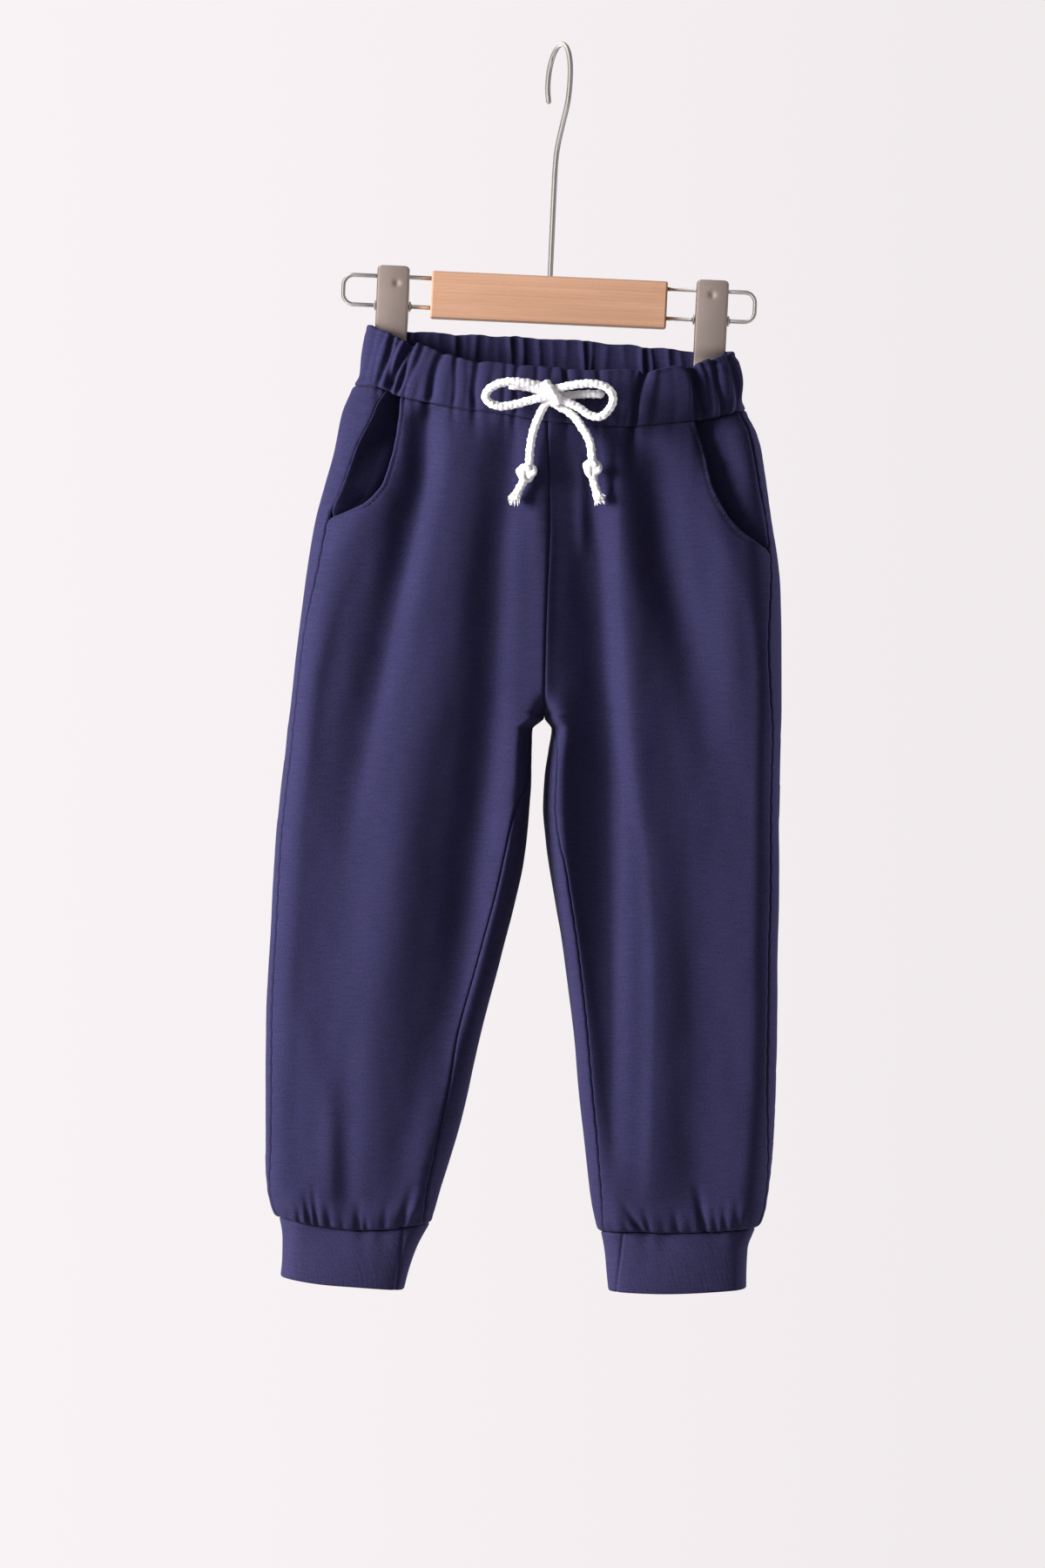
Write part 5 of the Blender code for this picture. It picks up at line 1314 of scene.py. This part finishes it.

# %% [markdown]
# ## The hanger's finishes
# The block is pale, straight-grained wood under a satin lacquer. Its grain runs along it, so the
# pattern is stretched along the block's own length, which hangs slightly out of level. The wire and the
# pressed steel have satin nickel plating with a fine mottle. The clips are duller, and their base colour is
# tinted warm: a painted warm reflection.

# %% Wood and nickel
HANGER_TILT = math.radians(2.6)
WOOD_DARK, WOOD_LIGHT = (0.30, 0.156, 0.091, 1.0), (0.515, 0.309, 0.207, 1.0)
WOOD_PORE = (0.25, 0.12, 0.065, 1.0)


def wood_finish():
    """Straight grain along the block, a slow drift of tone across it, and short dark pores."""
    finish = Finish("maple", 0.42, specular=0.4)
    level = finish.stretched(finish.place, (1, 1, 1), (0, -HANGER_TILT, 0))
    warp = finish.grain(finish.stretched(level, (9.0, 30.0, 60.0)), 1.0, 2.0)
    bands = finish.grain(finish.stretched(level, (3.0, 160.0, 620.0)), 1.0, 4.0, 0.6)
    pores = finish.grain(finish.stretched(level, (90.0, 900.0, 2600.0)), 1.0, 2.0, 0.6)
    tone = bands * 0.95 + warp * 0.45 - 0.20
    grain = finish.blend(tone, WOOD_DARK, WOOD_LIGHT)
    finish.vary("Base Color", finish.blend((pores > 0.62) * 0.22, grain, WOOD_PORE))
    finish.vary("Roughness", 0.36 + pores * 0.2)
    finish.relief(pores * 0.5 + bands * 0.5, 0.00008)
    return finish.material


def nickel_finish(name, base, roughness):
    """Satin plating, slightly cloudy, with a fine mottle in its roughness."""
    finish = Finish(name, roughness, metallic=1.0)
    mottle = finish.grain(finish.place, 1100.0, 2.0, 0.6)
    cloud = finish.grain(finish.place, 60.0, 2.0)
    finish.vary("Base Color", finish.blend(cloud, shade(base, 0.9), shade(base, 1.08)))
    finish.vary("Roughness", roughness - 0.05 + mottle * 0.1)
    finish.relief(mottle, 0.00003)
    return finish.material


WOOD = wood_finish()
WIRE_NICKEL = nickel_finish("nickel_wire", (0.58, 0.56, 0.545), 0.26)
# The clips' warm tint is a painted warm reflection, not the plating's own colour.
CLIP_STEEL = nickel_finish("clip_steel", (0.46, 0.385, 0.356), 0.36)

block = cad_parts["hanger_block"]
block.data.materials.clear()
block.data.materials.append(WOOD)

# %% [markdown]
# ## Wires
# One wire loop sticks out of each end of the block, and the hook stands in its top. Both are bent from
# round wire, so they are tubes along a route, drawn level and then turned as the hanger hangs.

# %% The wire loops and the hook
BLOCK_CENTRE = (3.0, 0.0, -157.0)
BLOCK_SIZE = (146.3, 12.0, 29.0)
WIRE, HOOK_WIRE = 2.6, 3.5
WIRE_TOP, WIRE_LOW = -146.7, -165.0
WIRE_REACH, WIRE_SEAT = 129.0, 15.0
WIRE_CORNER = 6.5  # the loop's end is a half circle with slightly squared shoulders
HOOK_SEAT, HOOK_RADIUS = 18.0, 22.0
HOOK_YAW = math.radians(18)
HOOK_NECK = ((0.6, -72.0), (3.6, -61.0), (11.0, -49.0), (18.4, -38.0), (21.4, -29.0))  # reach and z
TILTED = np.array(Matrix.Rotation(HANGER_TILT, 3, "Y"))


def tilted(points):
    """Turns the hanger's level points about the rail."""
    return points @ TILTED.T


def wire(name, route, thickness, finish, slot, node, sides=20, round_tip=False):
    """Round wire along a level route, with flat ends or with a rounded tip."""
    path, radius = tilted(np.array(route, float)), thickness / 2
    if round_tip:
        ahead = (path[-1] - path[-2]) / np.linalg.norm(path[-1] - path[-2])
        angle = np.linspace(0, math.pi / 2, 7)[1:]
        path = np.vstack([path, path[-1] + ahead * radius * np.sin(angle)[:, None]])
        end = radius * np.maximum(0.12, np.cos(angle))
        radius = np.concatenate([np.full(len(path) - 6, radius), end])[:, None]
    points, uv = tube_net(path, radius, sides)
    return add_piece(name, net(name, points, uv, caps=True), finish, slot, node)


for side, end in (("right", -1), ("left", 1)):
    reach = WIRE_REACH - WIRE / 2 - WIRE_CORNER
    inside = BLOCK_CENTRE[0] + end * (BLOCK_SIZE[0] / 2 - WIRE_SEAT)
    route = [(inside, 0, WIRE_TOP)]
    for start, stop, z in ((1, 0, WIRE_TOP - WIRE_CORNER), (0, -1, WIRE_LOW + WIRE_CORNER)):
        for angle in np.linspace(start * math.pi / 2, stop * math.pi / 2, 14):
            route.append((BLOCK_CENTRE[0] + end * (reach + WIRE_CORNER * math.cos(angle)), 0,
                          z + WIRE_CORNER * math.sin(angle)))
    route.append((inside, 0, WIRE_LOW))
    wire(f"wire_{side}", route, WIRE, WIRE_NICKEL, "nickel_wire", f"wire_loop_{side}")

forward = (math.sin(HOOK_YAW), -math.cos(HOOK_YAW))
crown = HOOK_WIRE / 2 - HOOK_RADIUS
neck = [(BLOCK_CENTRE[0], 0.0, BLOCK_CENTRE[2] + BLOCK_SIZE[2] / 2 - HOOK_SEAT),
        (BLOCK_CENTRE[0], 0.0, -120.0), (BLOCK_CENTRE[0], 0.0, -90.0)]
for reach, z in HOOK_NECK:
    neck.append((BLOCK_CENTRE[0] + forward[0] * reach, forward[1] * reach, z))
for degrees in range(0, 211, 15):
    angle = math.radians(degrees)
    reach = HOOK_RADIUS * math.cos(angle)
    neck.append((BLOCK_CENTRE[0] + forward[0] * reach, forward[1] * reach,
                 crown + HOOK_RADIUS * math.sin(angle)))
wire("hook_wire", smooth_route(neck, 1.2), HOOK_WIRE, WIRE_NICKEL, "nickel_wire", "hook", round_tip=True)
print("hook wire:", round(lengths_along(np.array(neck))[-1]), "mm before smoothing")

# %% [markdown]
# ## The clips
# A clip is two pressed steel plates on the lower wire, with a coil spring between their ears and a push
# nut at each side that stops it sliding. A plate is one sheet, bent back along both sides: flat in
# front, rounded over into flanges, and deepest at the ears. A shallow dimple near its top locates the
# spring's leg. The net follows that bend, and Solidify gives the sheet its thickness.

# %% Plates, springs and push nuts
CLIP_OFFSETS = {"right": -96.8, "left": 100.8}
CLIP_WIDTH = 20.0
PLATE, PLATE_GAP = 0.8, 0.4  # the sheet's thickness, and the rear plate's play inside the front one
PLATE_FOOT, PLATE_TOP = -30.0, 24.2  # z from the lower wire
BEND = 1.1
CORNER = 2.6
CROWN = 0.35  # how far a plate's middle stands out from its edges
PLATE_LINE = columns(("z", "y"), (
    (-30.0, -3.5), (-26.5, -2.75), (-15.0, -4.4), (0.0, -6.2), (15.0, -8.6), (24.2, -9.4),
))
FLANGE_LINE = columns(("z", "y"), (
    (-30.0, -1.6), (-26.5, -0.8), (-15.0, -1.6), (-7.0, 3.2), (6.0, 3.2), (17.0, -4.6), (24.2, -6.9),
))
DIMPLES = {"right": (2.4, 13.6), "left": (0.0, 15.0)}  # x from the middle, z from the lower wire
DIMPLE_DEPTH, DIMPLE_HALF = 0.55, 1.9
SPRING_WIRE, SPRING_RADIUS, SPRING_HALF = 1.1, 2.7, 6.2
SPRING_TURNS, TURN_POINTS = 6, 14
NUT_PLAY = 0.3
# A push nut's side outline: distance from the wire's middle, and how far out along the wire.
NUT_LINE = (
    (1.45, 0.0), (3.0, 0.0), (3.25, 0.25), (3.25, 0.7), (2.9, 1.0), (2.1, 1.1), (1.45, 1.7), (1.45, 0.0),
)


def clip_plate(side, face):
    """face is -1 in front of the cloth, 1 behind it; the rear plate nests inside the front one."""
    middle = BLOCK_CENTRE[0] + CLIP_OFFSETS[side]
    half = CLIP_WIDTH / 2 - (0 if face < 0 else PLATE + PLATE_GAP)
    heights = np.concatenate([np.linspace(PLATE_FOOT, 21.0, 66), np.linspace(21.4, PLATE_TOP, 9)])
    bend = np.linspace(0, math.pi / 2, 7)
    points = []
    for z in heights:
        front, rear = along(PLATE_LINE, "z", "y", z), along(FLANGE_LINE, "z", "y", z)
        round_off = min(BEND, 0.6 * (rear - front))
        corner = CORNER - math.sqrt(max(0.0, CORNER**2 - max(0.0, z - PLATE_TOP + CORNER) ** 2))
        wide = half - corner
        flange = np.column_stack([np.full(6, wide), np.linspace(rear, front + round_off, 6)])
        shoulder = np.column_stack([
            wide - round_off * (1 - np.cos(bend)), front + round_off * (1 - np.sin(bend)),
        ])[1:]
        flat_x = np.linspace(wide - round_off, -wide + round_off, 22)[1:-1]
        flat = np.column_stack([flat_x, np.full(20, front)])
        right = np.vstack([flange, shoulder])
        line = np.vstack([right, flat, right[::-1] * (-1, 1)])
        near = np.hypot(line[:, 0] - DIMPLES[side][0], z - DIMPLES[side][1])
        line[:, 1] += DIMPLE_DEPTH * np.exp(-((near / DIMPLE_HALF) ** 2)) * (line[:, 1] < front + 0.1)
        crown_y = CROWN * (1 - (line[:, 0] / half) ** 2) * (line[:, 1] < front + round_off)
        points.append(np.column_stack([middle + line[:, 0], -face * (line[:, 1] - crown_y),
                                       np.full(len(line), WIRE_LOW + z)]))
    points = np.array(points)
    outward = points[..., :2] - np.array((middle, -face * 6.0))
    where = "front" if face < 0 else "back"
    name = f"clip_plate_{where}_{side}"
    data = net(name, np.array([tilted(row) for row in points]), outward=outward)
    piece = add_piece(name, data, CLIP_STEEL, "clip_steel", f"clip_{where}_{side}")
    thicken(piece, PLATE)
    edge = piece.modifiers.new("edges", "BEVEL")
    edge.width, edge.segments, edge.limit_method = 0.15 * MM, 2, "ANGLE"


def spring(side):
    """The coil between the plates, with one leg up behind the front plate."""
    start = BLOCK_CENTRE[0] + CLIP_OFFSETS[side] - SPRING_HALF
    route = [(start, -6.0, WIRE_LOW + 15.0), (start, -4.6, WIRE_LOW + 8.0)]
    for i in range(SPRING_TURNS * TURN_POINTS + 1):
        angle = math.pi + 2 * math.pi * i / TURN_POINTS
        route.append((start + 2 * SPRING_HALF * i / (SPRING_TURNS * TURN_POINTS),
                      SPRING_RADIUS * math.cos(angle), WIRE_LOW + SPRING_RADIUS * math.sin(angle)))
    wire(f"coil_{side}", smooth_route(route, 0.7), SPRING_WIRE, WIRE_NICKEL, "clip_steel",
         f"spring_{side}", sides=10)


def push_nut(side, label, end):
    """A dished steel washer pressed onto the wire: one side outline, spun about the wire."""
    x = BLOCK_CENTRE[0] + CLIP_OFFSETS[side] + end * (CLIP_WIDTH / 2 + NUT_PLAY)
    angle = np.linspace(0, 2 * math.pi, 25)
    points = np.array([
        [(x + end * out, radius * math.cos(a), WIRE_LOW + radius * math.sin(a)) for a in angle]
        for radius, out in NUT_LINE
    ])
    points[:, -1] = points[:, 0]
    name = f"push_washer_{label}_{side}"
    data = net(name, np.array([tilted(row) for row in points]))
    add_piece(name, data, WIRE_NICKEL, "clip_steel", f"push_nut_{label}_{side}")


for side, offset in CLIP_OFFSETS.items():
    clip_plate(side, FRONT)
    clip_plate(side, BACK)
    spring(side)
    push_nut(side, "inner" if offset > 0 else "outer", -1)
    push_nut(side, "outer" if offset > 0 else "inner", 1)
print("clips at", [BLOCK_CENTRE[0] + offset for offset in CLIP_OFFSETS.values()])

# %% [markdown]
# ## Floor, background and light
# A big soft light stands to the left, so that slopes facing left are bright and slopes facing right
# fall away, which is what makes soft folds readable. A weak even fill keeps the shaded slopes navy. The
# camera sees a pale background with painted shade, darker to the right, away from the key, and a pale
# floor lies below. Bright metal would mirror the lights as glaring lines, so they are hidden from it, and
# it mirrors a softly graded room instead.

# %% The studio
FLOOR_Z = -1.25
KEY_AT, KEY_AIM, KEY_SIZE, KEY_POWER = (-2.05, -0.84, 0.0), (0.0, 0.0, -0.44), 0.9, 184.0
RIM_AT, RIM_SIZE, RIM_POWER = (2.1, 0.9, -0.3), 1.2, 84.0
FILL = 0.25
LIGHT_COLOUR, FILL_COLOUR = (1.0, 0.97, 0.965), (0.93, 0.92, 1.0, 1.0)
# The room that metal mirrors, from left to right: place, and brightness.
SHINE = (
    (0.0, 0.50), (0.18, 1.1), (0.30, 2.3), (0.40, 0.95), (0.47, 0.70), (0.55, 0.38), (0.75, 0.22), (1.0, 0.5),
)
BACKDROP_EDGE = 0.11  # how far to each side the backdrop's colour goes on changing
# The backdrop's colours are painted shade: lighter on the left, towards the key light, and darker on the
# right.
BACKDROP_LEFT, BACKDROP_RIGHT = (0.95, 0.90, 0.92, 1.0), (0.87, 0.825, 0.84, 1.0)

mesh = bmesh.new()
bmesh.ops.create_grid(mesh, x_segments=1, y_segments=1, size=1.5)
bmesh.ops.translate(mesh, vec=(0, 0, FLOOR_Z), verts=mesh.verts)
floor_data = finished_mesh("floor", mesh)
floor = bpy.data.objects.new("floor", floor_data)
floor_finish = Finish("pale_floor", 0.7)
floor_finish.fix("Base Color", (0.42, 0.40, 0.41, 1.0))
floor_data.materials.append(floor_finish.material)
bpy.context.scene.collection.objects.link(floor)


def soft_light(name, at, size, power):
    """A square area light that looks at the trousers' middle."""
    data = bpy.data.lights.new(name, "AREA")
    data.shape, data.size, data.energy = "SQUARE", size, power
    data.color = LIGHT_COLOUR
    light = bpy.data.objects.new(name, data)
    light.location = at
    light.rotation_euler = (Vector(KEY_AIM) - Vector(at)).to_track_quat("-Z", "Y").to_euler()
    light.visible_glossy = False
    bpy.context.scene.collection.objects.link(light)


soft_light("key", KEY_AT, KEY_SIZE, KEY_POWER)
soft_light("rim", RIM_AT, RIM_SIZE, RIM_POWER)

world = bpy.data.worlds.new("studio")
world.use_nodes = True
bpy.context.scene.world = world
nodes, links = world.node_tree.nodes, world.node_tree.links
nodes.clear()


def world_node(kind, values):
    """A node of the world's own tree, with the values or links of its sockets."""
    made = nodes.new(kind)
    for socket, value in values.items():
        if isinstance(value, bpy.types.NodeSocket):
            links.new(value, made.inputs[socket])
        else:
            made.inputs[socket].default_value = value
    return made


ray = world_node("ShaderNodeLightPath", {}).outputs
aim = world_node("ShaderNodeTexCoord", {}).outputs["Generated"]
sideways = world_node("ShaderNodeSeparateXYZ", {"Vector": aim}).outputs["X"]
across_view = world_node("ShaderNodeMapRange", {
    "Value": sideways, "From Min": -BACKDROP_EDGE, "From Max": BACKDROP_EDGE,
})
backdrop = nodes.new("ShaderNodeMix")
backdrop.data_type = "RGBA"
links.new(across_view.outputs["Result"], backdrop.inputs[0])
backdrop.inputs[6].default_value, backdrop.inputs[7].default_value = BACKDROP_LEFT, BACKDROP_RIGHT
seen = world_node("ShaderNodeBackground", {"Color": backdrop.outputs[2]})
fill = world_node("ShaderNodeBackground", {"Color": FILL_COLOUR, "Strength": FILL})
from_left = world_node("ShaderNodeMapRange", {"Value": sideways, "From Min": -1.0, "From Max": 1.0})
room = world_node("ShaderNodeValToRGB", {"Fac": from_left.outputs["Result"]})
for place, _ in SHINE[1:-1]:
    room.color_ramp.elements.new(place)
for stop, (place, brightness) in zip(room.color_ramp.elements, SHINE):
    stop.position, stop.color = place, (brightness, brightness * 0.95, brightness * 0.93, 1.0)
shine = world_node("ShaderNodeBackground", {"Color": room.outputs["Color"]})
lit = world_node("ShaderNodeMixShader", {
    "Fac": ray["Is Glossy Ray"], 1: fill.outputs[0], 2: shine.outputs[0],
})
view = world_node("ShaderNodeMixShader", {
    "Fac": ray["Is Camera Ray"], 1: lit.outputs[0], 2: seen.outputs[0],
})
world_node("ShaderNodeOutputWorld", {"Surface": view.outputs[0]})
bpy.context.scene.view_settings.view_transform = "Standard"
print("key light", KEY_POWER, "W, rim", RIM_POWER, "W, fill", FILL)
